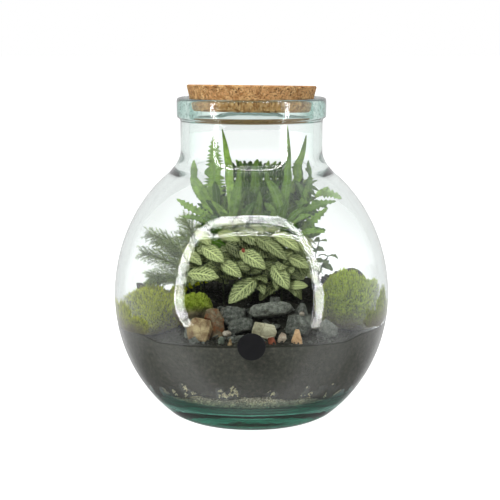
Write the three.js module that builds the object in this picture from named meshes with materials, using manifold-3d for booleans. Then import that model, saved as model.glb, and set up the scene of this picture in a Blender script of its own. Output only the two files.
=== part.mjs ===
// Glass plant terrarium: a bellied jar of recycled glass, closed by a cork and planted inside.
// Millimetres, +Z up. The front faces -Y and the origin is the middle of the foot.

import * as THREE from 'three';
import { ConvexGeometry } from 'three/addons/geometries/ConvexGeometry.js';
import { mergeVertices } from 'three/addons/utils/BufferGeometryUtils.js';
import Module from 'manifold-3d';

const wasm = await Module();
wasm.setup();

// Driving dimensions

const SIDES = 32; // facets of every turned piece
const GAP = 0.3; // clearance between pieces that touch
const SEAT = 0.45; // clearance round a piece that is bedded in another

const JAR = {
  belly: 134.5, bellyZ: 120, upper: 150, lower: 143, // outer ellipses: radius, centre, half heights
  wall: 8, floorZ: 26, floorRadius: 80, cornerZ: 36.5,
  footIn: 50, footOut: 66, heelZ: 3, punt: 6,
  shoulderZ: 238, neck: 68.9, neckZ: 262, mouth: 60.6,
  rim: 72.4, rimZ: 293, top: 313, rimRound: 3.5, lip: 4,
};
const CORK = { top: 62.9, bottom: 57.4, height: 25, middle: 312.1, edge: 1.2, backTilt: 2, leftTilt: 0.65 };
const LABEL = { radius: 13, z: 96, thick: 0.3, gap: 0.15, sides: 15 };

const GRAVEL = { level: 45, fall: 14, reach: 95, relief: 2.5 };
const LAYER_RADIUS = 130; // wider than the inside, and cut back to it
const LAYER_RINGS = 5;
const SOIL_LEVEL = 92;
const MOUND = { x: 0, y: 12, radius: 86, height: 34 };
const BANK = { x: 105, y: 55, radius: 42, height: 38 };
const LEDGE = { x: 8, y: -98, radius: 62, height: 4 }; // the soil that the front stones lie on
const SUNK = 8; // depth of a stem in the soil
const STRAIGHT = 3; // upright start of a stem above the soil
const LEAN = 0.12; // how far the bend of a stem already leans to its tip

// Small rules that the shapes share

// A repeatable number from 0 to 1 for each seed.
function chance(seed) {
  const wave = Math.sin(seed * 127.1 + 311.7) * 43758.5453;
  return wave - Math.floor(wave);
}

const degrees = (angle) => THREE.MathUtils.degToRad(angle);
const vector = (point) => new THREE.Vector3(...point);

function soilTop(x, y) {
  const rise = (hump, power) => {
    const share = Math.hypot(x - hump.x, y - hump.y) / hump.radius;
    return hump.height * Math.exp(-(share ** power));
  };
  return SOIL_LEVEL + rise(MOUND, 4) + rise(BANK, 2) + rise(LEDGE, 2);
}

function gravelTop(x, y) {
  const ripple = Math.sin(0.11 * x + 1) * Math.cos(0.13 * y);
  return GRAVEL.level - GRAVEL.fall * (x / GRAVEL.reach) ** 2 + GRAVEL.relief * ripple;
}

// Joining and cutting

function toSolid(geometry) {
  const bare = geometry.clone();
  bare.deleteAttribute('normal');
  bare.deleteAttribute('uv');
  const merged = mergeVertices(bare, 1e-4);
  const corners = merged.index.array;
  const faces = [];
  for (let i = 0; i < corners.length; i += 3) {
    const [a, b, c] = [corners[i], corners[i + 1], corners[i + 2]];
    if (a !== b && b !== c && c !== a) faces.push(a, b, c);
  }
  return new wasm.Manifold(new wasm.Mesh({
    numProp: 3,
    vertProperties: Float32Array.from(merged.attributes.position.array),
    triVerts: Uint32Array.from(faces),
  }));
}

function toGeometry(solid) {
  const mesh = solid.getMesh();
  const geometry = new THREE.BufferGeometry();
  geometry.setAttribute('position', new THREE.BufferAttribute(mesh.vertProperties, 3));
  geometry.setIndex(new THREE.BufferAttribute(mesh.triVerts, 1));
  return geometry;
}

// The largest body of a solid, without the scraps of a cut or the sealed hollows of a join.
function largest(solid) {
  return solid.decompose().reduce((best, body) => (body.volume() > best.volume() ? body : best));
}

function fuse(geometries) {
  return largest(geometries.map(toSolid).reduce((whole, next) => whole.add(next)));
}

// The geometry grown by the seat clearance on every side of its own middle.
function grown(geometry) {
  geometry.computeBoundingBox();
  const size = geometry.boundingBox.getSize(new THREE.Vector3());
  const middle = geometry.boundingBox.getCenter(new THREE.Vector3());
  return geometry.clone()
    .translate(-middle.x, -middle.y, -middle.z)
    .scale(1 + (2 * SEAT) / size.x, 1 + (2 * SEAT) / size.y, 1 + (2 * SEAT) / size.z)
    .translate(middle.x, middle.y, middle.z);
}

// The jar's profile, as radius and height

function ellipseArc(radius, halfHeight, from, to, steps) {
  return new THREE.EllipseCurve(0, JAR.bellyZ, radius, halfHeight, from, to).getPoints(steps);
}

// A soft corner from the end of an arc to a point that lies straight up or straight inwards of it.
function softCorner(radius, halfHeight, angle, end, upright, steps) {
  const start = new THREE.Vector2(radius * Math.cos(angle), JAR.bellyZ + halfHeight * Math.sin(angle));
  const slope = (halfHeight * Math.cos(angle)) / (-radius * Math.sin(angle));
  const corner = upright
    ? new THREE.Vector2(end.x, start.y + slope * (end.x - start.x))
    : new THREE.Vector2(start.x + (end.y - start.y) / slope, end.y);
  return new THREE.QuadraticBezierCurve(start, corner, end).getPoints(steps).slice(1);
}

function outerProfile() {
  const heel = Math.asin((JAR.heelZ - JAR.bellyZ) / JAR.lower);
  const shoulder = Math.asin((JAR.shoulderZ - JAR.bellyZ) / JAR.upper);
  const neckFoot = new THREE.Vector2(JAR.neck, JAR.neckZ);
  return [
    new THREE.Vector2(0, JAR.punt),
    new THREE.Vector2(JAR.footIn, 0),
    new THREE.Vector2(JAR.footOut, 0),
    ...ellipseArc(JAR.belly, JAR.lower, heel, 0, 6),
    ...ellipseArc(JAR.belly, JAR.upper, 0, shoulder, 5).slice(1),
    ...softCorner(JAR.belly, JAR.upper, shoulder, neckFoot, true, 2),
  ];
}

function rimProfile() {
  const { neck, rim, rimZ, top, rimRound, lip, mouth } = JAR;
  return [
    new THREE.Vector2(neck, rimZ - 2),
    new THREE.Vector2(rim - 1, rimZ),
    new THREE.Vector2(rim, rimZ + rimRound),
    new THREE.Vector2(rim, top - rimRound),
    new THREE.Vector2(rim - 0.3 * rimRound, top - 0.3 * rimRound),
    new THREE.Vector2(rim - rimRound, top),
    new THREE.Vector2(mouth + lip, top),
    new THREE.Vector2(mouth, top - lip),
  ];
}

// The inside from the middle of the floor up to the foot of the neck, drawn in by inset.
function innerProfile(inset = 0) {
  const radius = JAR.belly - JAR.wall - inset;
  const lower = JAR.lower - JAR.wall - inset;
  const upper = JAR.upper - JAR.wall - inset;
  const corner = Math.asin((JAR.cornerZ - JAR.bellyZ) / lower);
  const shoulder = Math.asin((JAR.shoulderZ - JAR.bellyZ) / upper);
  const floorEdge = new THREE.Vector2(JAR.floorRadius, JAR.floorZ + inset);
  const neckFoot = new THREE.Vector2(JAR.mouth - inset, JAR.neckZ);
  return [
    new THREE.Vector2(0, JAR.floorZ + inset),
    ...softCorner(radius, lower, corner, floorEdge, false, 2).reverse(),
    ...ellipseArc(radius, lower, corner, 0, 5),
    ...ellipseArc(radius, upper, 0, shoulder, 5).slice(1),
    ...softCorner(radius, upper, shoulder, neckFoot, true, 2),
  ];
}

// A profile turned about the Z axis. It starts and ends on the axis.
function turned(profile) {
  return new THREE.LatheGeometry(profile, SIDES).rotateX(Math.PI / 2);
}

function glassJar() {
  return turned([...outerProfile(), ...rimProfile(), ...innerProfile().reverse()]);
}

// Everything that the jar holds stays inside this solid.
function inside() {
  const profile = innerProfile(GAP);
  return toSolid(turned([...profile, new THREE.Vector2(0, profile.at(-1).y)]));
}

function corkStopper() {
  const { top, bottom, height, edge } = CORK;
  return turned([
    new THREE.Vector2(0, -height / 2),
    new THREE.Vector2(bottom - edge, -height / 2),
    new THREE.Vector2(bottom, edge - height / 2),
    new THREE.Vector2(top, height / 2 - edge),
    new THREE.Vector2(top - edge, height / 2),
    new THREE.Vector2(0, height / 2),
  ]);
}

// A thin disc that lies on the curve of the belly.
function labelDisc() {
  const disc = new THREE.CylinderGeometry(LABEL.radius, LABEL.radius, LABEL.thick, LABEL.sides, 1);
  const places = disc.attributes.position;
  for (let i = 0; i < places.count; i += 1) {
    const z = LABEL.z + places.getZ(i);
    const glass = JAR.belly * Math.sqrt(1 - ((z - JAR.bellyZ) / JAR.lower) ** 2);
    const radius = glass + LABEL.gap + LABEL.thick / 2 + places.getY(i);
    const turn = -places.getX(i) / JAR.belly;
    places.setXYZ(i, radius * Math.sin(turn), -radius * Math.cos(turn), z);
  }
  return disc;
}

// Gravel and soil

// A round layer between two surfaces, each given as a function of x and y.
function layer(bottom, top) {
  const across = Array.from({ length: LAYER_RINGS + 1 }, (_, ring) => (LAYER_RADIUS * ring) / LAYER_RINGS);
  const under = across.map((r) => new THREE.Vector2(r, 0));
  const over = across.map((r) => new THREE.Vector2(r, 1)).reverse();
  const geometry = turned([...under, ...over]);
  const places = geometry.attributes.position;
  for (let i = 0; i < places.count; i += 1) {
    const [x, y] = [places.getX(i), places.getY(i)];
    places.setZ(i, places.getZ(i) > 0.5 ? top(x, y) : bottom(x, y));
  }
  return toSolid(geometry);
}

function stemHole({ root: [x, y], stem }) {
  const depth = SUNK + GAP;
  const height = 3 * SUNK;
  const middle = soilTop(x, y) - depth + height / 2;
  const drill = new THREE.CylinderGeometry(stem + GAP, stem + GAP, height, 5).rotateX(Math.PI / 2);
  return toSolid(drill.translate(x, y, middle));
}

// Stones

// Rings of corners from the bottom up: height, then how far the ring reaches, both as shares.
const CUTS = {
  slab: [[-1, 0.8], [-0.3, 1], [0.5, 0.97], [1, 0.72]],
  block: [[-1, 0.86], [0.1, 1], [1, 0.74]],
  wedge: [[-1, 1], [-0.2, 0.95], [1, 0.3]],
  pebble: [[-1, 0.5], [-0.35, 0.95], [0.35, 0.95], [1, 0.5]],
};
const STONES = {
  stone_tan: { cut: 'block', at: [-47, -98, 105], size: [27, 17, 22], turn: [-14, 4, -8], colour: '#a8886a' },
  stone_rust: { cut: 'pebble', at: [-34, -91, 107], size: [25, 10, 33], turn: [-12, -8, 6], colour: '#9a6b40' },
  slate_flake: { cut: 'block', at: [-27, -78, 109], size: [11, 9, 26], turn: [-10, 12, -20], colour: '#5a5a57' },
  slate_left: { cut: 'slab', at: [-15, -79, 113], size: [27, 16, 18], turn: [-20, 6, 14], colour: '#474a4a' },
  slate_brown: { cut: 'slab', at: [-10, -93, 107], size: [29, 16, 13], turn: [-24, -18, 8], colour: '#54524f' },
  slate_slab: { cut: 'slab', at: [17, -77, 119], size: [47, 24, 13], turn: [-26, -7, 4], colour: '#4b4d4d' },
  slate_behind: { cut: 'block', at: [22, -64, 125], size: [14, 9, 8], turn: [-8, 4, 20], colour: '#5b5d5c' },
  slate_back_right: { cut: 'wedge', at: [46, -71, 114], size: [19, 13, 23], turn: [-10, 10, -16], colour: '#55575a' },
  pebble_white: { cut: 'pebble', at: [46, -84, 116.5], size: [6, 5, 5], turn: [0, 10, 0], colour: '#c9c9c2' },
  slate_big_right: { cut: 'block', at: [43, -89, 107], size: [30, 19, 19], turn: [-22, 8, -10], colour: '#4f5153' },
  slate_far_right: { cut: 'slab', at: [70, -84, 103], size: [22, 9, 13], turn: [-18, 34, 20], colour: '#6a6c6d' },
  stone_cream: { cut: 'block', at: [11, -103, 105], size: [27, 13, 15], turn: [-16, 8, 0], colour: '#b9b08e' },
  slate_under: { cut: 'slab', at: [-2, -109, 98.5], size: [34, 11, 7], turn: [-20, 3, 0], colour: '#565854' },
  pebble_pale: { cut: 'pebble', at: [-22, -108, 103.5], size: [10, 8, 6], turn: [0, 0, 14], colour: '#c3beb1' },
  chip_tan: { cut: 'wedge', at: [-19, -116, 97], size: [6, 5, 8], turn: [0, 0, 20], colour: '#a5814f' },
  chip_green: { cut: 'block', at: [-27, -113, 97], size: [7, 6, 10], turn: [0, 10, 0], colour: '#6d7365' },
  chip_red: { cut: 'block', at: [10, -118, 96], size: [7, 5, 6], turn: [0, 10, 5], colour: '#94492f' },
  chip_rust: { cut: 'block', at: [18, -115, 98], size: [8, 6, 8], turn: [0, -12, 0], colour: '#8a4630' },
  pebble_pink: { cut: 'pebble', at: [27, -110, 99], size: [10, 8, 12], turn: [0, 20, 0], colour: '#b0a08c' },
  chip_orange: { cut: 'wedge', at: [41, -107, 99], size: [13, 8, 17], turn: [-8, 0, 0], colour: '#c39a68' },
  stone_grey_left: { cut: 'block', at: [-55.5, -85, 103], size: [14, 10, 19], turn: [-8, 8, 10], colour: '#8c9088' },
};
const STONE_CORNERS = 6;

function stone({ cut, at, size: [width, depth, height], turn }, seed) {
  const corners = [];
  CUTS[cut].forEach(([level, reach], ring) => {
    for (let k = 0; k < STONE_CORNERS; k += 1) {
      const pick = 37 * seed + 7 * ring + k;
      const angle = (2 * Math.PI * (k + 0.7 * chance(pick))) / STONE_CORNERS;
      const out = reach * (0.84 + 0.16 * chance(pick + 0.5));
      const lift = level * (0.86 + 0.14 * chance(pick + 0.25));
      corners.push(new THREE.Vector3(
        0.5 * width * out * Math.cos(angle),
        0.5 * depth * out * Math.sin(angle),
        0.5 * height * lift,
      ));
    }
  });
  const pose = new THREE.Euler(...turn.map(degrees));
  const placed = corners.map((corner) => corner.applyEuler(pose).add(vector(at)));
  return new ConvexGeometry(placed);
}

// Moss and bark

const MOSS = [
  { name: 'moss_left', at: [-96, -25, 100], half: [37, 58, 30], under: 9, colour: '#7c8f37' },
  { name: 'moss_right', at: [95, -24, 106], half: [35, 52, 38], under: 14, colour: '#76904a' },
  { name: 'moss_ball', at: [-54, -65, 118], half: [19, 14, 14], under: 20, colour: '#8ca335' },
  { name: 'moss_back', at: [-42, 92, 99], half: [46, 27, 22], under: 8, colour: '#7a8d3c' },
];
const MOSS_COLUMNS = 13;
const MOSS_ROWS = 7;
const MOSS_LUMP = 0.07;

function mossCushion({ at, half, under }, seed) {
  const cushion = new THREE.SphereGeometry(1, MOSS_COLUMNS, MOSS_ROWS).rotateX(Math.PI / 2);
  const places = cushion.attributes.position;
  for (let i = 0; i < places.count; i += 1) {
    const [x, y, z] = [places.getX(i), places.getY(i), places.getZ(i)];
    const lump = Math.sin(5 * x + seed) * Math.cos(6 * y - seed) + 0.6 * Math.sin(9 * x * y + 2 * seed);
    const swell = 1 + MOSS_LUMP * lump * (z > 0 ? 1 : 0.4);
    const height = z > 0 ? half[2] : under;
    places.setXYZ(i, half[0] * x * swell, half[1] * y * swell, height * z * swell);
  }
  return cushion.translate(...at);
}

const BARK = { name: 'bark_piece', at: [-101, 12, 128], length: 30, radius: 3.4, colour: '#55514a' };

function barkPiece() {
  const stick = new THREE.CylinderGeometry(BARK.radius, BARK.radius, BARK.length, 7, 5).rotateZ(Math.PI / 2);
  const places = stick.attributes.position;
  for (let i = 0; i < places.count; i += 1) {
    const [x, y, z] = [places.getX(i), places.getY(i), places.getZ(i)];
    const along = x / BARK.length;
    const rough = 1 - 1.1 * along ** 2 + 0.25 * Math.sin(17 * along + 2 * Math.atan2(z, y));
    places.setXYZ(i, x, y * rough, z * rough + 2 * Math.sin(5 * along));
  }
  return stick.rotateY(degrees(-5)).translate(...BARK.at);
}

// Stems and blades

// A stem of a few sides along a curve. Its first step ends where the stem leaves the soil.
function stem(curve, radius, sides) {
  const steps = Math.round(curve.getLength() / (SUNK + STRAIGHT));
  const ring = new THREE.Path().absarc(0, 0, radius, 0, 2 * Math.PI).getSpacedPoints(sides).slice(0, sides);
  return new THREE.ExtrudeGeometry(new THREE.Shape(ring), { steps, extrudePath: curve, bevelEnabled: false });
}

// A thin folded blade along a curve: a row of diamonds, each with two margins, an upper and a lower
// rib point, that run out to one tip. Both faces are split along the same diagonals.
function blade(curve, { width, thick, fold, face, steps }) {
  const corners = [];
  for (let step = 0; step < steps; step += 1) {
    const along = step / steps;
    const middle = curve.getPoint(along);
    const ahead = curve.getTangent(along);
    const side = new THREE.Vector3().crossVectors(ahead, face).normalize();
    const up = new THREE.Vector3().crossVectors(side, ahead).normalize();
    const half = width(along, step) / 2;
    const rib = (thick / 2) * (1 - 0.5 * along);
    corners.push(
      middle.clone().addScaledVector(side, -half).addScaledVector(up, fold * half),
      middle.clone().addScaledVector(up, rib),
      middle.clone().addScaledVector(side, half).addScaledVector(up, fold * half),
      middle.clone().addScaledVector(up, -rib),
    );
  }
  const tip = corners.push(curve.getPoint(1)) - 1;
  const faces = [0, 2, 1, 0, 3, 2];
  for (let step = 0; step < steps; step += 1) {
    for (let k = 0; k < 4; k += 1) {
      const next = (k + 1) % 4;
      const [a, b, c, d] = [4 * step + k, 4 * step + next, 4 * step + 4 + next, 4 * step + 4 + k];
      if (step === steps - 1) faces.push(a, b, tip);
      else faces.push(...(k % 2 ? [a, b, d, b, c, d] : [a, b, c, a, c, d]));
    }
  }
  const geometry = new THREE.BufferGeometry().setFromPoints(corners);
  geometry.setIndex(faces);
  return geometry;
}

// A stem that rises straight out of its hole and then bends over to its tip.
function stemCurve([x, y], tip, lift) {
  const ground = soilTop(x, y);
  const foot = new THREE.Vector3(x, y, ground - SUNK);
  const neck = new THREE.Vector3(x, y, ground + STRAIGHT);
  const end = vector(tip);
  const bend = new THREE.Vector3(x, y, ground + lift * (end.z - ground)).lerp(end, LEAN);
  const path = new THREE.CurvePath();
  path.add(new THREE.LineCurve3(foot, neck));
  path.add(new THREE.QuadraticBezierCurve3(neck, bend, end));
  return path;
}

// The point of a stem curve at a share of the part above the soil.
function alongStem(path, share) {
  return path.curves[1].getPoint(share);
}

// Ribbon fern: wiry stalks with long strap leaflets

// Each leaflet gives its start along the stalk, its tip, its width and how far its middle bows out.
const FERN = { stem: 0.9, thick: 1.3, fold: 0.16, teeth: 0.16, steps: 5, colour: '#4d7a3a' };
const FORK = 0.98; // the end leaflets start just inside the end of the stalk
const FRONT = [0, -1, 0.25];
const BACK = [0, 1, 0.25];
const FRONDS = [
  { root: [-16, 2], tip: [-36, -2, 206], face: FRONT, leaflets: [
    { from: 1, tip: [-56, -8, 250], width: 12, bow: [-12, 0, -4] },
    { from: 0.96, tip: [-36, 4, 277], width: 17, bow: [-3, 3, 0], toothed: true },
    { from: 0.86, tip: [-24, -4, 216], width: 9, bow: [-2, -4, 8] },
  ] },
  { root: [-6, -3], tip: [-20, -12, 196], face: FRONT, leaflets: [
    { from: 1, tip: [-28, -8, 285], width: 8, bow: [4, 0, 0] },
    { from: 0.94, tip: [-11, -22, 243], width: 11, bow: [0, -3, 0] },
    { from: 0.8, tip: [-38, -26, 214], width: 8, bow: [-2, -3, 6] },
  ] },
  { root: [0, 6], tip: [2, 4, 204], face: FRONT, leaflets: [
    { from: 1, tip: [4, 0, 248], width: 11, bow: [1, -3, 0] },
    { from: 0.92, tip: [-11, 6, 247], width: 10, bow: [-6, -2, 0] },
    { from: 0.9, tip: [17, 6, 247], width: 10, bow: [6, -2, 0] },
    { from: 0.7, tip: [8, -10, 222], width: 9, bow: [4, -4, 0] },
  ] },
  { root: [16, -3], tip: [31, -14, 192], face: FRONT, leaflets: [
    { from: 1, tip: [12, -24, 240], width: 11, bow: [5, -3, 6] },
    { from: 0.97, tip: [37, -12, 262], width: 9, bow: [0, -2, 0] },
    { from: 0.85, tip: [52, -24, 208], width: 8, bow: [0, -2, 6] },
  ] },
  { root: [16, 2], tip: [37, 2, 214], face: FRONT, leaflets: [
    { from: 1, tip: [35, 4, 288], width: 5, bow: [2, 0, 0] },
    { from: 0.98, tip: [53, -4, 278], width: 8, bow: [3, 0, -6] },
    { from: 0.95, tip: [50, 8, 256], width: 6, bow: [2, 0, -4] },
  ] },
  { root: [24, 4], tip: [67, 2, 220], face: [0.2, -1, 0.7], leaflets: [
    { from: 1, tip: [88, 0, 214], width: 10, bow: [0, 0, 5], toothed: true },
    { from: 0.95, tip: [74, -8, 226], width: 6, bow: [0, 0, 0] },
    { from: 0.9, tip: [74, -6, 204], width: 6, bow: [2, 0, 2] },
    { from: 0.72, tip: [54, -4, 226], width: 7, bow: [0, 0, 2] },
  ] },
  { root: [20, 16], tip: [50, 20, 228], face: FRONT, leaflets: [
    { from: 1, tip: [63, 20, 239], width: 5, bow: [0, 0, 3] },
    { from: 0.95, tip: [69, 24, 219], width: 5, bow: [2, 0, 6] },
    { from: 0.8, tip: [34, 20, 244], width: 7, bow: [-4, 0, 0] },
  ] },
  { root: [30, -2], tip: [50, -12, 186], face: [0.3, -1, 0.5], leaflets: [
    { from: 1, tip: [72, -18, 206], width: 9, bow: [0, 0, 0], toothed: true },
    { from: 0.9, tip: [70, -24, 184], width: 8, bow: [0, 0, 4], toothed: true },
  ] },
  { root: [-24, 10], tip: [-40, 12, 196], face: [-0.3, -1, 0.6], leaflets: [
    { from: 1, tip: [-74, 10, 213], width: 9, bow: [0, 0, -4], toothed: true },
    { from: 0.85, tip: [-68, 2, 196], width: 8, bow: [0, 0, 4], toothed: true },
  ] },
  { root: [2, 20], tip: [4, 30, 206], face: BACK, leaflets: [
    { from: 1, tip: [6, 36, 246], width: 11, bow: [0, 4, 0] },
    { from: 0.92, tip: [-16, 44, 244], width: 10, bow: [-4, 4, 0] },
    { from: 0.88, tip: [26, 46, 240], width: 10, bow: [4, 4, 0] },
  ] },
  { root: [-14, 24], tip: [-34, 40, 190], face: [-0.5, 1, 0.5], leaflets: [
    { from: 1, tip: [-56, 48, 226], width: 11, bow: [-4, 4, 0] },
    { from: 0.9, tip: [-28, 60, 212], width: 10, bow: [0, 6, 0] },
    { from: 0.75, tip: [-60, 54, 178], width: 9, bow: [-4, 4, 6], toothed: true },
  ] },
  { root: [20, 28], tip: [42, 44, 188], face: [0.5, 1, 0.5], leaflets: [
    { from: 1, tip: [62, 52, 222], width: 11, bow: [4, 4, 0] },
    { from: 0.9, tip: [32, 64, 210], width: 10, bow: [0, 6, 0] },
    { from: 0.75, tip: [66, 62, 178], width: 9, bow: [4, 4, 6], toothed: true },
  ] },
];

function fernFrond({ root, tip, face, leaflets }) {
  const path = stemCurve(root, tip, 0.6);
  const parts = [stem(path, FERN.stem, 4)];
  leaflets.forEach(({ from, tip: point, width, bow, toothed }) => {
    const start = alongStem(path, FORK * from);
    const end = vector(point);
    const control = start.clone().lerp(end, 0.5).add(vector(bow));
    const curve = new THREE.QuadraticBezierCurve3(start, control, end);
    const teeth = toothed ? 2 * FERN.teeth : FERN.teeth;
    const outline = (along, step) => {
      const strap = Math.sin(Math.PI * (0.004 + 0.9 * along) ** 0.75);
      return width * strap * (1 + (step % 2 ? teeth : -teeth));
    };
    const steps = toothed ? FERN.steps + 2 : FERN.steps;
    parts.push(blade(curve, { ...FERN, width: outline, face: vector(face), steps }));
  });
  return fuse(parts);
}

// Nerve plant: short leafy stems with pairs of oval, crinkled leaves, each pair a quarter turn on

const NERVE = {
  stem: 1.1, pairs: 4, leaf: 23, width: 15, thick: 1.3, fold: 0.22, crinkle: 0.1, steps: 4,
  colour: '#7f9a5e',
};
// Where the pairs sit along a stem, how they get smaller and steeper, and how a leaf arches.
const LEAFY = { from: 0.4, to: 0.97, shorter: 0.3, narrower: 0.2, level: -0.1, steeper: 0.35 };
const ARCH = { reach: 0.93, crown: 0.22, drop: 0.3 };
const NERVE_STEMS = [
  { root: [-45, -26], tip: [-53, -32, 167], turn: 0 },
  { root: [-26, -48], tip: [-28.5, -56, 163], turn: 29 },
  { root: [-16, -27], tip: [-18, -33, 194], turn: 35 },
  { root: [0, -50], tip: [-1, -60, 156], turn: 20 },
  { root: [13, -27], tip: [13, -33, 187], turn: 30 },
  { root: [28, -49], tip: [30.5, -57.5, 158], turn: 50 },
  { root: [42, -27], tip: [46, -32, 176], turn: 15 },
];

// A leaf that leaves the stem at an azimuth and a rise, and arches over to its tip.
function leafCurve(start, azimuth, rise, length) {
  const out = new THREE.Vector3(Math.cos(azimuth), Math.sin(azimuth), 0);
  const top = start.clone().addScaledVector(out, 0.5 * length);
  top.z += length * (rise + ARCH.crown);
  const end = start.clone().addScaledVector(out, ARCH.reach * length);
  end.z += length * (rise - ARCH.drop);
  return new THREE.QuadraticBezierCurve3(start, top, end);
}

function leafyStem({ root, tip, turn }, plant) {
  const path = stemCurve(root, tip, 0.5);
  const parts = [stem(path, plant.stem, 4)];
  for (let pair = 0; pair < plant.pairs; pair += 1) {
    const up = pair / (plant.pairs - 1);
    const start = alongStem(path, LEAFY.from + (LEAFY.to - LEAFY.from) * up);
    const length = plant.leaf * (1 - LEAFY.shorter * up);
    const rise = LEAFY.level + LEAFY.steeper * up;
    for (let side = 0; side < 2; side += 1) {
      const azimuth = degrees(turn + 90 * pair + 180 * side);
      const outline = (along, step) => {
        const oval = Math.sin(Math.PI * (0.02 + 0.9 * along) ** 0.95);
        const wave = 1 + (step % 2 ? 1 : -1) * plant.crinkle;
        return plant.width * (1 - LEAFY.narrower * up) * oval * wave;
      };
      const shape = { ...plant, width: outline, face: new THREE.Vector3(0, 0, 1) };
      parts.push(blade(leafCurve(start, azimuth, rise, length), shape));
    }
  }
  return fuse(parts);
}

// Asparagus fern: arching sprays with needles on all sides of a slim stem

const PLUME = {
  stem: 1.3, needles: 21, needle: 17, root: 0.42, from: 0.25, to: 0.97, forward: 0.8, shortest: 0.45,
  colour: '#6d8660',
};
const PLUME_TURN = degrees(137); // from one needle to the next, round the stem
const PLUME_STRAY = 0.5; // how far a needle strays from that turn, in radians
const NEEDLE_ROOT = 0.2; // depth of a needle's root in what it grows from
const PLUME_FLAT = 0.55; // how round the spray is, from 0, flat, to 1
const PLUMES = [
  { root: [-50, 8], tip: [-103, 17, 177], lift: 0.75 },
  { root: [-56, 3], tip: [-108, 3, 160], lift: 0.7 },
  { root: [-58, 16], tip: [-97, 46, 166], lift: 0.7 },
  { root: [-48, 22], tip: [-68, 32, 190], lift: 0.6 },
  { root: [-60, -6], tip: [-98, -14, 138], lift: 1.1 },
  { root: [-44, 34], tip: [-74, 74, 168], lift: 0.7 },
];

// A three-sided needle from a point in a direction, its root sunk into what it grows from.
function needle(start, direction, length, radius) {
  const spike = new THREE.ConeGeometry(radius, length + 2 * NEEDLE_ROOT, 3);
  spike.translate(0, 0.5 * length - NEEDLE_ROOT, 0);
  const turn = new THREE.Quaternion().setFromUnitVectors(new THREE.Vector3(0, 1, 0), direction);
  return spike.applyQuaternion(turn).translate(start.x, start.y, start.z);
}

function plumeSpray({ root, tip, lift }, seed) {
  const path = stemCurve(root, tip, lift);
  const parts = [stem(path, PLUME.stem, 3)];
  const side = new THREE.Vector3(root[1] - tip[1], tip[0] - root[0], 0).normalize();
  for (let k = 0; k < PLUME.needles; k += 1) {
    const share = k / (PLUME.needles - 1);
    const place = PLUME.from + (PLUME.to - PLUME.from) * share;
    const ahead = path.curves[1].getTangent(place);
    const up = new THREE.Vector3().crossVectors(ahead, side).normalize();
    const turn = k * PLUME_TURN + PLUME_STRAY * chance(91 * seed + k);
    const out = ahead.clone().multiplyScalar(PLUME.forward)
      .addScaledVector(side, Math.cos(turn))
      .addScaledVector(up, PLUME_FLAT * Math.sin(turn));
    const bulge = Math.sin(Math.PI * (0.2 + 0.7 * share));
    const length = PLUME.needle * (PLUME.shortest + (1 - PLUME.shortest) * bulge);
    parts.push(needle(alongStem(path, place), out.normalize(), length, PLUME.root));
  }
  const end = path.curves[1].getTangent(1);
  parts.push(needle(alongStem(path, 1), end, 0.5 * PLUME.needle, 0.7 * PLUME.stem));
  return fuse(parts);
}

// Small sprigs at the right

const SPRIG = {
  stem: 0.8, pairs: 3, leaf: 15, width: 9, thick: 1.2, fold: 0.2, crinkle: 0.08, steps: 4,
  colour: '#6f8a54',
};
const SPRIGS = [
  { root: [60, 8], tip: [68, 20, 170], turn: 30 },
  { root: [66, 22], tip: [78, 25, 154], turn: 72 },
];

// Assembly

const group = new THREE.Group();

function finish(color, roughness) {
  return new THREE.MeshStandardMaterial({ color, roughness, metalness: 0 });
}

function add(name, geometry, material) {
  const mesh = new THREE.Mesh(geometry, material);
  mesh.name = name;
  group.add(mesh);
  return mesh;
}

function overlaps(a, b) {
  return !a.intersect(b).isEmpty();
}

const stems = [
  ...FRONDS.map(({ root }) => ({ root, stem: FERN.stem })),
  ...NERVE_STEMS.map(({ root }) => ({ root, stem: NERVE.stem })),
  ...PLUMES.map(({ root }) => ({ root, stem: PLUME.stem })),
  ...SPRIGS.map(({ root }) => ({ root, stem: SPRIG.stem })),
];

// Each stone is set against the ones before it, then the moss and the soil are bedded round them.
const bedded = [];
const bark = barkPiece();
Object.entries(STONES).forEach(([name, rule], index) => {
  const raw = stone(rule, index + 1);
  let solid = toSolid(raw);
  bedded.forEach(({ room }) => {
    if (overlaps(solid, room)) solid = largest(solid.subtract(room));
  });
  add(name, toGeometry(solid), finish(rule.colour, 0.85));
  bedded.push({ room: toSolid(grown(raw)) });
});
MOSS.forEach((rule, index) => {
  const raw = mossCushion(rule, index + 1);
  let solid = toSolid(raw).intersect(inside()).subtract(toSolid(grown(bark)));
  bedded.forEach(({ room }) => {
    if (overlaps(solid, room)) solid = solid.subtract(room);
  });
  add(rule.name, toGeometry(largest(solid)), finish(rule.colour, 0.95));
  bedded.push({ room: toSolid(grown(raw)) });
});

const gravel = layer(() => JAR.floorZ - 1, gravelTop);
let soil = layer(() => JAR.floorZ - 1, soilTop).intersect(inside()).subtract(gravel.translate([0, 0, GAP]));
[...bedded.map(({ room }) => room), ...stems.map(stemHole)].forEach((room) => {
  soil = soil.subtract(room);
});

add('glass_jar', glassJar(), finish('#cfe3da', 0.03));
const cork = add('cork_stopper', corkStopper(), finish('#c8945f', 0.85));
cork.position.set(0, 0, CORK.middle);
cork.rotation.set(-degrees(CORK.backTilt), degrees(CORK.leftTilt), 0);
add('label_disc', labelDisc(), finish('#1b1b1b', 0.45));
add('gravel_layer', toGeometry(gravel.intersect(inside())), finish('#b3a58b', 0.9));
add('soil', toGeometry(largest(soil)), finish('#38332c', 0.97));
add(BARK.name, bark, finish(BARK.colour, 0.9));

// One node for each rule of a plant.
function grow(name, rules, make, material) {
  rules.forEach((rule, k) => add(`${name}_${k + 1}`, toGeometry(make(rule, k + 1)), material));
}

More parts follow.
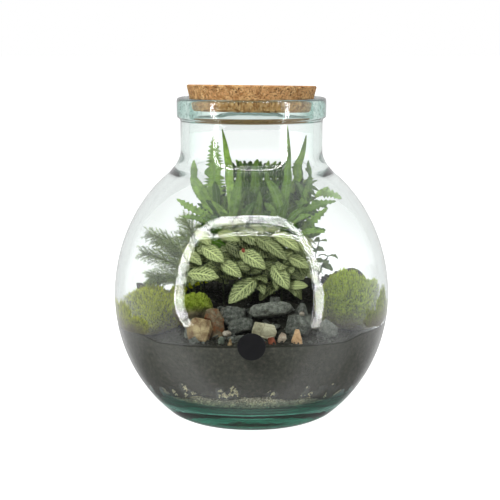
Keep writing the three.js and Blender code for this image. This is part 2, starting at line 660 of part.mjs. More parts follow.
grow('fern_frond', FRONDS, fernFrond, finish(FERN.colour, 0.5));
grow('nerve_stem', NERVE_STEMS, (rule) => leafyStem(rule, NERVE), finish(NERVE.colour, 0.55));
grow('plume_spray', PLUMES, plumeSpray, finish(PLUME.colour, 0.7));
grow('sprig', SPRIGS, (rule) => leafyStem(rule, SPRIG), finish(SPRIG.colour, 0.6));

export default group;
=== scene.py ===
# The looks of the glass plant terrarium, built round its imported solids.
# Shapes are worked out in millimetres and written to their meshes in metres.

import math

import bpy
import numpy as np
from mathutils import Matrix, Vector


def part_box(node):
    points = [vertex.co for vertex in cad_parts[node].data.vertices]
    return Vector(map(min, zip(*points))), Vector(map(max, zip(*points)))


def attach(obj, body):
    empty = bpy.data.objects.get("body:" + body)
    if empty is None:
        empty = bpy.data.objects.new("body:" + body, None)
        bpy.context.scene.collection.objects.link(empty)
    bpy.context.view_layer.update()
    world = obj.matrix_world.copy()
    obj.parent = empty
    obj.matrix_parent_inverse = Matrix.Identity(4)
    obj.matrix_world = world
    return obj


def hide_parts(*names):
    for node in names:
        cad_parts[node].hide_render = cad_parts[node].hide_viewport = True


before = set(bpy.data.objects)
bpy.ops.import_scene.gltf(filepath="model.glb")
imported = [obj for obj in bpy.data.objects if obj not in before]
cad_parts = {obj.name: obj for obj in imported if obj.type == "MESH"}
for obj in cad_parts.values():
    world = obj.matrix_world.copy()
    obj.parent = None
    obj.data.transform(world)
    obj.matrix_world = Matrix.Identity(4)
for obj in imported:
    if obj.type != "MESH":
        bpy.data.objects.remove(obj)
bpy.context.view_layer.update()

MM = 0.001
UP = np.array([0.0, 0.0, 1.0])

# Driving dimensions, as in the solids

GAP = 0.3
PRESSED = -0.25  # moist soil and moss wet the glass, so they leave no air there
JAR = dict(
    belly=134.5, belly_z=120, upper=150, lower=143, wall=8, floor_z=26, floor_radius=80, corner_z=36.5,
    foot_in=50, foot_out=66, heel_z=3, punt=6, shoulder_z=238, neck=68.9, neck_z=262, mouth=60.6,
    rim=72.4, rim_z=293, top=313, rim_round=3.5, lip=4,
)
CORK = dict(top=62.9, bottom=57.4, height=25, middle=312.1, edge=1.2, back_tilt=2, left_tilt=0.65)
LABEL = dict(radius=13, z=96, thick=0.3, gap=0.15)
GRAVEL = dict(level=45, fall=14, reach=95, relief=2.5)
SOIL_LEVEL = 92
MOUND = dict(x=0, y=12, radius=86, height=34)
BANK = dict(x=105, y=55, radius=42, height=38)
LEDGE = dict(x=8, y=-98, radius=62, height=4)
SUNK = 8
STRAIGHT = 3
LEAN = 0.12

# The photograph's camera

CAMERA_PLACE = (0, -1350, 375)
CAMERA_TILT = 8.91
CAMERA_LENS = 100
CAMERA_SHIFT = -0.003


def soil_top(x, y):
    def rise(hump, power):
        share = np.hypot(x - hump["x"], y - hump["y"]) / hump["radius"]
        return hump["height"] * np.exp(-(share ** power))
    return SOIL_LEVEL + rise(MOUND, 4) + rise(BANK, 2) + rise(LEDGE, 2)


def gravel_top(x, y):
    ripple = np.sin(0.11 * x + 1) * np.cos(0.13 * y)
    return GRAVEL["level"] - GRAVEL["fall"] * (x / GRAVEL["reach"]) ** 2 + GRAVEL["relief"] * ripple


# Points and draws

def join(a, b, c):
    """Points from three coordinates, or guides from three numbers."""
    return np.stack(np.broadcast_arrays(a, b, c), -1)


def circle(sides):
    """Turns spaced evenly round a full circle."""
    return 2 * math.pi * np.arange(sides) / sides


def polar(radius, turns, z):
    return join(radius * np.cos(turns), radius * np.sin(turns), z)


def unit(v):
    v = np.asarray(v, float)
    return v / np.maximum(np.linalg.norm(v, axis=-1, keepdims=True), 1e-9)


def between(span, share):
    return span[0] + (span[1] - span[0]) * share


def stray(draws, *count):
    """Random steps of up to a half each way along each axis."""
    return draws.random((*count, 3)) - 0.5


def lattice(i, j, k, seed):
    """A steady draw from -1 to 1 for each whole point."""
    mixed = (i * 374761393 + j * 668265263 + k * 1440662683 + seed * 1274126177) & 0xFFFFFFFF
    mixed = ((mixed ^ (mixed >> 13)) * 1274126177) & 0xFFFFFFFF
    return ((mixed ^ (mixed >> 16)) & 0xFFFF) / 32767.5 - 1


def rough(points, size, octaves=4, seed=0):
    """Fractal noise of about -1 to 1 at points in millimetres, with features of the size."""
    points = np.atleast_2d(np.asarray(points, float)) / size
    total = np.zeros(len(points))
    for octave in range(octaves):
        place = points * 2 ** octave + 17.3 * octave
        cell = np.floor(place).astype(np.int64)
        share = place - cell
        share = share * share * (3 - 2 * share)
        for corner in range(8):
            step = np.array([corner & 1, corner >> 1 & 1, corner >> 2 & 1])
            weight = np.prod(np.where(step, share, 1 - share), axis=1)
            total += 0.5 ** octave * weight * lattice(*(cell + step).T, seed)
    return total


# Meshes

def grid_faces(rows, columns, closed=True):
    """Quads of a grid of rows and columns, closed round the columns or not."""
    across = np.arange(columns if closed else columns - 1)
    row, column = np.meshgrid(np.arange(rows - 1), across, indexing="ij")
    a = row * columns + column
    b = row * columns + (column + 1) % columns
    return np.stack([a, b, b + columns, a + columns], -1).reshape(-1, 4)


def copies(faces, points, count):
    """The faces of many equal bodies, each with the same number of points."""
    return (np.array(faces) + points * np.arange(count)[:, None, None]).reshape(-1, len(faces[0]))


class Shape:
    """Points, faces, and three numbers for each point that guide its material. On a leaf they are
    its place across and along, and a draw of its own."""

    def __init__(self):
        self.points, self.faces, self.guides = [], [], []
        self.count = 0

    def add(self, points, face_sets, guides=(0, 0, 0)):
        points = np.asarray(points, float).reshape(-1, 3)
        self.points.append(points)
        self.faces += [np.asarray(faces).reshape(len(faces), -1) + self.count for faces in face_sets]
        self.guides.append(np.broadcast_to(np.asarray(guides, float).reshape(-1, 3), points.shape))
        self.count += len(points)

    def add_rings(self, rings, guides=(0, 0, 0)):
        """A closed body through rings of points, with a flat cap at both ends."""
        rows, columns = rings.shape[:2]
        ends = [[np.arange(columns)[::-1]], [(rows - 1) * columns + np.arange(columns)]]
        self.add(rings, [grid_faces(rows, columns), *ends], guides)

    def add_turned(self, rings, ends, flip=False):
        """A closed body through rings of points, with a fan from the last ring to a point at both ends."""
        rows, sides = rings.shape[:2]
        k = np.arange(sides)
        following, last, start = (k + 1) % sides, (rows - 1) * sides, rows * sides
        fans = [join(start, following, k), join(start + 1, last + k, last + following)]
        faces = [grid_faces(rows, sides), *fans]
        points = np.vstack([rings.reshape(-1, 3), ends])
        self.add(points, [face[:, ::-1] for face in faces] if flip else faces)

    def mesh(self, name, smooth):
        mesh = bpy.data.meshes.new(name)
        points = np.concatenate(self.points) * MM
        corners = np.concatenate([faces.ravel() for faces in self.faces])
        sizes = np.concatenate([np.full(len(faces), faces.shape[1]) for faces in self.faces])
        mesh.vertices.add(len(points))
        mesh.vertices.foreach_set("co", points.astype(np.float32).ravel())
        mesh.loops.add(len(corners))
        mesh.loops.foreach_set("vertex_index", corners.astype(np.int32))
        mesh.polygons.add(len(sizes))
        mesh.polygons.foreach_set("loop_start", (np.cumsum(sizes) - sizes).astype(np.int32))
        mesh.update(calc_edges=True)
        mesh.validate()
        mesh.polygons.foreach_set("use_smooth", [smooth] * len(mesh.polygons))
        guide = mesh.attributes.new("guide", "FLOAT_VECTOR", "POINT")
        guide.data.foreach_set("vector", np.concatenate(self.guides).astype(np.float32).ravel())
        return mesh


def add_object(name, data):
    obj = bpy.data.objects.new(name, data)
    bpy.context.scene.collection.objects.link(obj)
    return obj


def piece(name, shape, material, replaces=(), smooth=True):
    """An object of the shape, riding on the one body, in place of the nodes that it replaces."""
    mesh = shape.mesh(name, smooth)
    mesh.materials.append(material)
    obj = add_object(name, mesh)
    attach(obj, "root")
    if replaces:
        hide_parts(*replaces)


def lathe(profile, sides, change=None):
    """A closed body turned about Z. The profile starts and ends on the axis."""
    profile = np.array(profile, float)
    rings = polar(profile[1:-1, :1], circle(sides), profile[1:-1, 1:])
    if change is not None:
        rings = change(rings.reshape(-1, 3)).reshape(rings.shape)
    shape = Shape()
    shape.add_turned(rings, [profile[0, 1] * UP, profile[-1, 1] * UP])
    return shape


class Curve:
    """A curve from start to end, drawn towards a middle point."""

    def __init__(self, start, middle, end):
        self.start, self.middle, self.end = (np.asarray(p, float) for p in (start, middle, end))

    def at(self, t):
        t = np.asarray(t, float)[..., None]
        return (1 - t) ** 2 * self.start + 2 * t * (1 - t) * self.middle + t * t * self.end

    def ahead(self, t):
        t = np.asarray(t, float)[..., None]
        return unit((1 - t) * (self.middle - self.start) + t * (self.end - self.middle))


def tube(shape, curve, radius, tip_radius, steps, sides=6, draw=0.0):
    """A closed round stem along a curve. Its guide's -1 tells a material that it is a stem."""
    t = np.linspace(0, 1, steps + 1)
    ahead = curve.ahead(t)
    aside = np.zeros(3)
    aside[np.argmin(np.abs(curve.end - curve.start))] = 1
    side = unit(np.cross(ahead, aside))
    up = np.cross(side, ahead)
    turns = circle(sides)[None, :, None]
    reach = (radius + (tip_radius - radius) * t)[:, None, None]
    rings = curve.at(t)[:, None] + reach * (np.cos(turns) * side[:, None] - np.sin(turns) * up[:, None])
    shape.add_rings(rings, (0, -1, draw))


def blade(shape, curve, half, face, columns, thick, fold, wave, draw):
    """A thin closed leaf along a curve, folded at its rib. half is its half width at each step, and
    wave lifts its points by their places across and along."""
    t = np.linspace(0, 1, len(half))[:, None]
    across = np.linspace(-1, 1, columns)[None]
    ahead = curve.ahead(t[:, 0])
    side = unit(np.cross(ahead, face))[:, None]
    up = np.cross(side[:, 0], ahead)[:, None]
    half = np.maximum(half, 0.05)[:, None]
    lift = fold * half * np.abs(across) ** 1.3 + wave(across, t)
    place = curve.at(t[:, 0])[:, None] + (across * half)[..., None] * side + lift[..., None] * up
    depth = (0.5 * thick * (1 - 0.6 * t) * (1 - across ** 2))[..., None] * up
    rings = np.concatenate([place - depth, (place + depth)[:, -2:0:-1]], axis=1)
    guide = join(across, t, draw)
    shape.add_rings(rings, np.concatenate([guide, guide[:, -2:0:-1]], axis=1))


def zigzag(steps):
    """1 and -1 by turns, for teeth along an edge."""
    return np.where(np.arange(steps + 1) % 2, 1, -1)


# Materials

def linear(colour):
    """An sRGB colour of three numbers from 0 to 255 as the renderer's own, which has four."""
    if len(colour) == 4:
        return colour
    return (*(((c / 255 + 0.055) / 1.055) ** 2.4 if c > 10 else c / 255 / 12.92 for c in colour), 1)


class Value:
    """What a node puts out. It adds, subtracts and multiplies as a plain number does."""

    def __init__(self, nodes, socket):
        self.nodes, self.socket = nodes, socket

    def __add__(self, other):
        return self.nodes.math("ADD", self, other)

    def __sub__(self, other):
        return self.nodes.math("SUBTRACT", self, other)

    def __rsub__(self, other):
        return self.nodes.math("SUBTRACT", other, self)

    def __mul__(self, other):
        return self.nodes.math("MULTIPLY", self, other)


class Nodes:
    """A node tree, built with short calls. Noise and cells have sizes in millimetres, unless they are
    given a place of their own."""

    def __init__(self, tree):
        self.tree = tree
        metres = self.node("TexCoord", "Object")
        self.place = self.node("VectorMath", 0, {0: metres, "Scale": 1 / MM}, operation="SCALE")

    def feed(self, socket, value):
        """Links a value to a socket, or sets the socket's own number or colour."""
        if isinstance(value, Value):
            self.tree.links.new(value.socket, socket)
        else:
            socket.default_value = linear(value) if isinstance(value, tuple) else value

    def node(self, kind, output=0, inputs=(), **settings):
        made = self.tree.nodes.new("ShaderNode" + kind)
        for key, value in settings.items():
            setattr(made, key, value)
        for key, value in dict(inputs).items():
            self.feed(made.inputs[key], value)
        return Value(self, made.outputs[output])

    def noise(self, size, detail=4.0, roughness=0.55, place=None, distortion=0.0):
        return self.node("TexNoise", "Fac", {
            "Vector": place or self.place, "Scale": 1 / size, "Detail": detail, "Roughness": roughness,
            "Distortion": distortion})

    def cells(self, size, feature="F1", output="Distance", place=None):
        inputs = {"Vector": place or self.place, "Scale": 1 / size}
        return self.node("TexVoronoi", output, inputs, feature=feature)

    def math(self, operation, *values, clamp=False):
        return self.node("Math", 0, enumerate(values), operation=operation, use_clamp=clamp)

    def most(self, first, *others):
        """The largest of some values."""
        for other in others:
            first = self.math("MAXIMUM", first, other)
        return first

    def levels(self, value, low, high, at_low=0.0, at_high=1.0):
        """The value stretched so that low and high give the two results, and no further."""
        inputs = {"Value": value, "From Min": low, "From Max": high, "To Min": at_low, "To Max": at_high}
        return self.node("MapRange", "Result", inputs, clamp=True)

    def ramp(self, value, *stops):
        """Colours by value. Each stop is a place and a colour."""
        made = self.node("ValToRGB", 0, {0: value})
        elements = made.socket.node.color_ramp.elements
        while len(elements) < len(stops):
            elements.new(0.5)
        for element, (place, colour) in zip(elements, stops):
            element.position, element.color = place, linear(colour)
        return made

    def mix(self, factor, a, b):
        return self.node("Mix", 2, {0: factor, 6: a, 7: b}, data_type="RGBA")

    def blend(self, factor, first, second):
        """The first shader where the factor is 0, and the second where it is 1."""
        return self.node("MixShader", 0, {0: factor, 1: first, 2: second})

    def part(self, vector, axis):
        return self.node("SeparateXYZ", axis, {0: vector})

    def height(self):
        return self.part(self.place, 2)

    def upward(self):
        """How far a surface faces up, from -1 to 1."""
        return self.part(self.node("NewGeometry", "Normal"), 2)

    def ray(self, question):
        return self.node("LightPath", question)


class Paint(Nodes):
    """A material of the usual shader."""

    def __init__(self, name, roughness=0.8, specular=0.5):
        self.material = bpy.data.materials.new(name)
        self.material.use_nodes = True
        super().__init__(self.material.node_tree)
        self.inputs = self.tree.nodes["Principled BSDF"].inputs
        self.inputs["Roughness"].default_value = roughness
        self.inputs["Specular IOR Level"].default_value = specular
        self.shader = Value(self, self.tree.nodes["Principled BSDF"].outputs[0])

    def guide(self):
        """The three numbers of the shape's guide."""
        vector = self.node("Attribute", "Vector", attribute_name="guide")
        return [self.part(vector, axis) for axis in range(3)]

    def with_stem(self, along, tone, colour):
        """The tone, with a colour of its own on a stem, where along is -1."""
        return self.mix(self.math("LESS_THAN", along, -0.5), tone, colour)

    def relief(self, height, depth=1.0):
        """The normal of a surface with relief; depth is its height in millimetres."""
        return self.node("Bump", 0, {"Strength": 1.0, "Distance": depth * MM, "Height": height})

    def show(self, shader, output="Surface"):
        self.feed(self.tree.nodes["Material Output"].inputs[output], shader)
        return self.material

    def done(self, tone, height=None, depth=1.0, through=0):
        """The material with its colour, its relief and the share of light that a thin leaf lets through."""
        self.feed(self.inputs["Base Color"], tone)
        if height is not None:
            self.feed(self.inputs["Normal"], self.relief(height, depth))
        if through:
            self.show(self.blend(through, self.shader, self.node("BsdfTranslucent", 0, {"Color": tone})))
        return self.material


# Glass jar

GLASS_INDEX = 1.52
GLASS_LOSS = dict(red=4.5, green=1.6, blue=2.6)  # light lost in the glass, for each metre
GLASS_CRINKLE = dict(size=2.3, deep=0.066, neck=0.008)
GLASS_WAVES = dict(size=16, deep=0.09)
GLASS_MIRROR = 0.45  # the most that the outside mirrors, so that its far edges stay bright
JAR_SIDES = 160


def arc(radius, half_height, start, end, steps):
    turns = np.linspace(start, end, steps + 1)
    return [(radius * math.cos(t), JAR["belly_z"] + half_height * math.sin(t)) for t in turns]


def soft_corner(radius, half_height, angle, end, upright, steps):
    """A soft corner from the end of an arc to a point straight up or straight inwards of it."""
    x, z = radius * math.cos(angle), JAR["belly_z"] + half_height * math.sin(angle)
    slope = half_height * math.cos(angle) / (-radius * math.sin(angle))
    corner = (end[0], z + slope * (end[0] - x)) if upright else (x + (end[1] - z) / slope, end[1])
    return Curve((x, z), corner, end).at(np.linspace(0, 1, steps + 1)[1:])


def outer_profile():
    j = JAR
    heel = math.asin((j["heel_z"] - j["belly_z"]) / j["lower"])
    shoulder = math.asin((j["shoulder_z"] - j["belly_z"]) / j["upper"])
    hollow = [(j["foot_in"] * s, j["punt"] * (1 - s ** 3)) for s in np.linspace(0, 1, 10)]
    lower = arc(j["belly"], j["lower"], heel, 0, 30)[1:]
    edge = Curve((j["foot_out"], 0), (j["foot_out"] + 5, 0), lower[0])
    return [
        *hollow, (j["foot_in"] + 4, 0), *edge.at(np.linspace(0, 0.9, 5)), *lower,
        *arc(j["belly"], j["upper"], 0, shoulder, 24)[1:],
        *soft_corner(j["belly"], j["upper"], shoulder, (j["neck"], j["neck_z"]), True, 10),
    ]


def rim_profile():
    j = JAR
    rim, low, top, rounded, mouth, lip = j["rim"], j["rim_z"], j["top"], j["rim_round"], j["mouth"], j["lip"]
    shares = np.linspace(0, 1, 7)
    return [
        *Curve((j["neck"], low - 3), (j["neck"] + 0.4, low), (rim - 1.2, low + 0.4)).at(shares),
        (rim - 0.3, low + 1.4), (rim, low + rounded),
        *Curve((rim, top - rounded), (rim, top), (rim - rounded, top)).at(shares),
        *Curve((mouth + lip, top), (mouth, top), (mouth, top - lip)).at(shares),
    ]


def inner_profile(inset=0.0):
    j = JAR
    radius, lower, upper = (j[key] - j["wall"] - inset for key in ("belly", "lower", "upper"))
    corner = math.asin((j["corner_z"] - j["belly_z"]) / lower)
    shoulder = math.asin((j["shoulder_z"] - j["belly_z"]) / upper)
    floor = (j["floor_radius"], j["floor_z"] + inset)
    return [
        (0, j["floor_z"] + inset),
        *soft_corner(radius, lower, corner, floor, False, 8)[::-1],
        *arc(radius, lower, corner, 0, 24),
        *arc(radius, upper, 0, shoulder, 24)[1:],
        *soft_corner(radius, upper, shoulder, (j["mouth"] - inset, j["neck_z"]), True, 10),
    ]


INSIDE = {inset: np.array(inner_profile(inset)[1:]) for inset in (GAP, PRESSED)}


def inner_radius(z, inset):
    """How far out the inside of the glass is at a height, less an inset."""
    return np.interp(z, INSIDE[inset][:, 1], INSIDE[inset][:, 0])


def keep_inside(points, inset=PRESSED):
    """The points, drawn in to the inside of the glass where they lie past it."""
    reach = np.hypot(points[:, 0], points[:, 1])
    limit = inner_radius(np.clip(points[:, 2], JAR["floor_z"] + 1, JAR["neck_z"]), inset)
    drawn = points.copy()
    drawn[:, :2] *= np.minimum(1, limit / np.maximum(reach, 1e-6))[:, None]
    return drawn


def glass_tint(paint, outside):
    """Clear in the belly, teal in the foot, and green in the rim, darkest at its ends and edges."""
    clear, teal, low = (1, 1, 1, 1), (0.07, 0.32, 0.26, 1), (0.40, 0.80, 0.70, 1)
    height = paint.height()
    aslant = paint.levels(paint.node("LayerWeight", "Facing", {"Blend": 0.6}), 0.3, 0.9)
    facing = aslant * (1.0 - paint.math("ABSOLUTE", paint.upward()))
    rim = paint.mix(facing, (0.975, 0.992, 0.985, 1), (0.26, 0.48, 0.42, 1))
    specks = paint.levels(paint.noise(4, 3, 0.6), 0.5, 0.62) * facing
    rim = paint.mix(specks, rim, (0.16, 0.27, 0.25, 1))
    upper = paint.levels(height, JAR["top"] - 2.6, JAR["top"] - 1.2)
    lower = paint.levels(height, JAR["rim_z"] + 0.9, JAR["rim_z"] - 0.3)
    rim = paint.mix(paint.most(upper * 0.6, lower * 0.2) * outside, rim, (0.25, 0.38, 0.35, 1))
    share = paint.levels(height, 0, JAR["top"])
    body = paint.ramp(
        share, (0.0, low), (0.02, low), (0.045, teal), (0.075, teal), (0.13, clear), (1.0, clear))
    neck = facing * paint.levels(height, JAR["shoulder_z"], JAR["neck_z"])
    body = paint.mix(neck, body, (0.90, 0.95, 0.93, 1))
    level = paint.node("CombineXYZ", 0, {2: height * (1 / 2.2)})
    bands = paint.levels(paint.noise(1, 3, 0.6, level), 0.4, 0.62)
    body = paint.mix(paint.levels(height, 32, 22) * bands, body, (0.60, 0.95, 0.86, 1))
    return paint.mix(paint.levels(height, JAR["rim_z"] - 2, JAR["rim_z"] + 1), body, rim)


def glass_paint():
    """Smooth glass to look through, whose outside mirrors with a fine crinkle on the belly."""
    paint = Paint("recycled_glass", 0.0)
    outside = paint.guide()[0]
    crinkle, neck = GLASS_CRINKLE["deep"], GLASS_CRINKLE["neck"]
    broad = paint.noise(GLASS_WAVES["size"], 2, 0.4) * GLASS_WAVES["deep"] * outside
    belly = paint.levels(paint.height(), JAR["shoulder_z"], JAR["shoulder_z"] - 30)
    fine = paint.noise(GLASS_CRINKLE["size"], 1, 0.4) * ((belly * (crinkle - neck) + neck) * outside)
    see_through = paint.node("BsdfRefraction", 0, {
        "Roughness": 0, "IOR": GLASS_INDEX, "Color": glass_tint(paint, outside),
        "Normal": paint.relief(broad)})
    mirror = paint.node("BsdfGlossy", 0, {"Roughness": 0, "Normal": paint.relief(fine + broad)})
    fresnel = paint.node("Fresnel", 0, {"IOR": GLASS_INDEX})
    cap = paint.most(paint.node("NewGeometry", "Backfacing"), 1.0 - outside * (1 - GLASS_MIRROR))
    glass = paint.blend(paint.math("MINIMUM", fresnel, cap), see_through, mirror)
    easy = paint.most(paint.ray("Is Shadow Ray"), paint.ray("Is Diffuse Ray"))
    paint.show(paint.blend(easy, glass, paint.node("BsdfTransparent", 0, {"Color": (0.97, 0.98, 0.975, 1)})))
    red, green, blue = GLASS_LOSS.values()
    kept = (0, 1 - green / red, 1 - blue / red, 1)
    return paint.show(paint.node("VolumeAbsorption", 0, {"Color": kept, "Density": red}), "Volume")


def glass_jar():
    outside = [*outer_profile(), *rim_profile()]
    shape = lathe([*outside, *inner_profile()[::-1]], JAR_SIDES)
    guides = np.zeros((shape.count, 3))
    guides[:(len(outside) - 1) * JAR_SIDES, 0] = 1
    shape.guides = [guides]
    piece("glass_jar_fine", shape, glass_paint(), ["glass_jar"])


# Cork and label

def cork_paint():
    paint = Paint("pressed_cork", 0.85)
    grain = paint.node("SeparateColor", 0, {0: paint.cells(2.4, output="Color")})
    tone = paint.ramp(grain, (0.0, (158, 108, 60)), (0.4, (206, 158, 102)), (1.0, (234, 192, 134)))
    fleck = paint.levels(paint.noise(1.5, 4, 0.8, distortion=0.4), 0.56, 0.59)
    seam = paint.levels(paint.cells(2.4, "DISTANCE_TO_EDGE"), 0.08, 0.0)
    tone = paint.mix(seam * 0.5, tone, (126, 80, 46))
    tone = paint.mix(paint.levels(paint.noise(14, 2), 0.45, 0.75), tone, (206, 152, 98))
    return paint.done(paint.mix(fleck, tone, (58, 32, 18)), 1.0 - paint.most(fleck, seam), 0.35)


def cork_stopper():
    top, bottom, height, edge = CORK["top"], CORK["bottom"], CORK["height"], CORK["edge"]
    half = height / 2
    caps, shares = np.linspace(0.1, 1, 14), np.linspace(0, 1, 20)
    sides = [(between((bottom, top), s), between((edge - half, half - edge), s)) for s in shares]
    profile = [
        (0, -half), *[((bottom - edge) * s, -half) for s in caps], *sides,
        *[((top - edge) * s, half) for s in caps[::-1]], (0, half),
    ]

    def pitted(points):
        flat = np.abs(points[:, 2]) > half - 0.5 * edge
        outward = np.where(flat[:, None], UP * np.sign(points[:, 2:]), unit(points * (1, 1, 0)))
        pit = np.maximum(0, rough(points, 3.4, 3) - 0.3)
        return points - (pit + 0.1)[:, None] * outward

    shape = lathe(profile, 220, pitted)
    back, left = -math.radians(CORK["back_tilt"]), math.radians(CORK["left_tilt"])
    pose = np.array(Matrix.Rotation(back, 3, "X") @ Matrix.Rotation(left, 3, "Y"))
    shape.points = [shape.points[0] @ pose.T + CORK["middle"] * UP]
    piece("cork_stopper_fine", shape, cork_paint(), ["cork_stopper"])


def label_disc():
    """A blank disc that lies on the curve of the belly, with a softly rounded edge."""
    def on_glass(share, turns, level):
        x, z = LABEL["radius"] * share * np.cos(turns), LABEL["z"] + LABEL["radius"] * share * np.sin(turns)
        glass = JAR["belly"] * np.sqrt(1 - ((z - JAR["belly_z"]) / JAR["lower"]) ** 2)
        radius = glass + LABEL["gap"] + LABEL["thick"] * level
        return join(radius * np.sin(x / JAR["belly"]), -radius * np.cos(x / JAR["belly"]), z)

    edge = np.array([(0.3, 1), (0.7, 1), (0.95, 1), (0.99, 0.8), (1, 0.3), (1, 0), (0.7, 0), (0.3, 0)])
    shape = Shape()
    rings = on_glass(edge[:, :1], circle(96), edge[:, 1:])
    shape.add_turned(rings, [on_glass(0, 0, 1), on_glass(0, 0, 0)], flip=True)
    paint = Paint("black_label", 0.45, 0.2)
    material = paint.done(paint.mix(paint.noise(6, 3), (26, 26, 28), (34, 34, 36)), paint.noise(0.5, 2), 0.02)
    piece("label_disc_fine", shape, material, ["label_disc"])


# Gravel and soil

CRUMB = np.array([(1, 0, 0), (-1, 0, 0), (0, 1, 0), (0, -1, 0), (0, 0, 1), (0, 0, -1)], float)
CRUMB_FACES = [(0, 2, 4), (2, 1, 4), (1, 3, 4), (3, 0, 4), (2, 0, 5), (1, 2, 5), (3, 1, 5), (0, 3, 5)]
GRAVEL_GRAINS = dict(count=8000, size=(0.9, 3.2), stray=13)
GRAVEL_EDGE = dict(rise=3.5, clumps=15.0, size=8)
SOIL_CRUMBS = dict(count=5200, size=(0.6, 2.5), reach=122)
SOIL_EDGE = 5


def add_crumbs(shape, places, sizes, draws):
    """Small broken grains, each with its own size, turn and draw."""
    count = len(places)
    x, y, z = np.moveaxis(CRUMB * (sizes[:, None, None] * (0.75 + 0.5 * draws.random((count, 6, 3)))), -1, 0)
    turn = 2 * math.pi * draws.random(count)[:, None]
    x, y = x * np.cos(turn) - y * np.sin(turn), x * np.sin(turn) + y * np.cos(turn)
    body = join(x, y, z + (draws.random(count)[:, None] - 0.5) * x) + places[:, None]
    guides = join(np.zeros((count, 6)), 0, 0.25 + 0.75 * draws.random(count)[:, None])
    shape.add(body, [copies(CRUMB_FACES, 6, count)], guides)


def layer_shape(bottom, top, rings, sides, relief, side_rows, dent, inset=GAP):
    """A layer that fills the jar between two surfaces. Its side follows the inside of the glass, and
    dent says how far it stays back from there."""
    turns = circle(sides)

    def edge(surface):
        reach = np.full(sides, 100.0)
        for _ in range(12):
            reach = inner_radius(surface(reach * np.cos(turns), reach * np.sin(turns)), inset)
        return reach

    def ring(share, surface, reach):
        x, y, _ = polar(share * reach, turns, 0).T
        return join(x, y, surface(x, y))

    low, high = edge(bottom), edge(top)
    rows = [ring(k / rings, bottom, low) for k in range(1, rings + 1)]
    z0, z1 = rows[-1][:, 2], ring(1, top, high)[:, 2]
    for step in range(1, side_rows):
        z = z0 + (z1 - z0) * step / side_rows
        radius = inner_radius(z, inset)
        place = polar(radius, turns, z)
        drawn = 1 - dent(place) / radius
        rows.append(place * join(drawn, drawn, 1))
    for k in range(rings, 0, -1):
        row = ring(k / rings, top, high)
        row[:, 2] += relief * min(1.0, 6 * (1 - k / rings)) * rough(row, 11, 5)
        rows.append(row)
    shape = Shape()
    shape.add_turned(np.array(rows), [bottom(0, 0) * UP, top(0, 0) * UP])
    return shape


def gravel_edge(x, y):
    """The gravel's top where it meets the glass: lower and broken between its clumps."""
    clumps = GRAVEL_EDGE["clumps"] * rough(join(x, y, 0), GRAVEL_EDGE["size"], 3, 3)
    return gravel_top(x, y) + GRAVEL_EDGE["rise"] + clumps


def gravel_layer():
    paint = Paint("gravel", 0.9)
    tone = paint.ramp(
        paint.guide()[2], (0.0, (90, 80, 56)), (0.35, (190, 180, 138)), (0.7, (238, 230, 190)),
        (1.0, (160, 140, 98)))
    tone = paint.mix(paint.levels(paint.noise(1.6, 4), 0.4, 0.7), tone, (206, 198, 172))
    draws = np.random.default_rng(5)
    floor, count = JAR["floor_z"] + GAP, GRAVEL_GRAINS["count"]
    shape = layer_shape(
        lambda x, y: floor, lambda x, y: gravel_top(x, y) - 1.5, rings=8, sides=96, relief=0.8, side_rows=3,
        dent=lambda place: 1.2)
    turns = 2 * math.pi * draws.random(count)
    sizes = between(GRAVEL_GRAINS["size"], draws.random(count) ** 2)
    z = sizes + between((floor, gravel_top(0, 0) + GRAVEL_GRAINS["stray"]), draws.random(count))
    places = polar(inner_radius(z - sizes, PRESSED) - 0.95 * sizes, turns, z)
    kept = (z < gravel_edge(places[:, 0], places[:, 1])) & (rough(places, 7, 3, 9) > -0.2)
    add_crumbs(shape, places[kept], sizes[kept], draws)
    material = paint.done(tone, paint.noise(0.8, 3), 0.15)
    piece("gravel_fine", shape, material, ["gravel_layer"], smooth=False)


def soil_paint():
    paint = Paint("potting_soil", 0.95, 0.2)
    patches = paint.noise(3.5, 6, 0.65)
    tone = paint.ramp(patches, (0.3, (68, 67, 62)), (0.55, (84, 82, 76)), (0.75, (104, 99, 89)))
    fibre = paint.levels(paint.noise(1.1, 4, 0.7, distortion=2.0), 0.66, 0.72)
    tone = paint.mix(fibre * 0.45, tone, (120, 104, 82))
    # Painted shade: surfaces that face up are darkened, for the shade that the plants cast on the soil's top;
    # the sides against the glass stay lighter.
    shaded_top = paint.levels(paint.upward(), 0.1, 0.5)
    tone = paint.mix(shaded_top * 0.85, tone, (30, 29, 22))
    return paint.done(tone, paint.noise(2.2, 6, 0.7) + paint.noise(0.7, 3), 0.5)


def soil():
    def dent(place):
        """Pressed in only where the gravel's clumps reach up."""
        return 2.4 * np.clip((gravel_edge(place[:, 0], place[:, 1]) + 1 - place[:, 2]) / 1.5, 0, 1)

    def banked_top(x, y):
        """Drawn up against the glass under the moss at both sides."""
        beside = np.clip((np.abs(x) - 84) / 16, 0, 1)
        return soil_top(x, y) + SOIL_EDGE * beside * np.clip((np.hypot(x, y) - 110) / 10, 0, 1)

    shape = layer_shape(
        gravel_top, banked_top, rings=46, sides=224, relief=2.2, side_rows=24, dent=dent, inset=PRESSED)
    draws = np.random.default_rng(11)
    count = SOIL_CRUMBS["count"]
    turns = 2 * math.pi * draws.random(count)
    radius = SOIL_CRUMBS["reach"] * np.sqrt(draws.random(count))
    sizes = between(SOIL_CRUMBS["size"], draws.random(count) ** 3)
    places = polar(radius, turns, 0)
    places[:, 2] = soil_top(*places[:, :2].T) + 0.4 * sizes
    kept = radius < inner_radius(places[:, 2], GAP) - 1.6 * sizes
    add_crumbs(shape, places[kept], sizes[kept], draws)
    piece("soil_fine", shape, soil_paint(), ["soil"])


# Stones: each one is its own solid, with worn edges and a broken surface

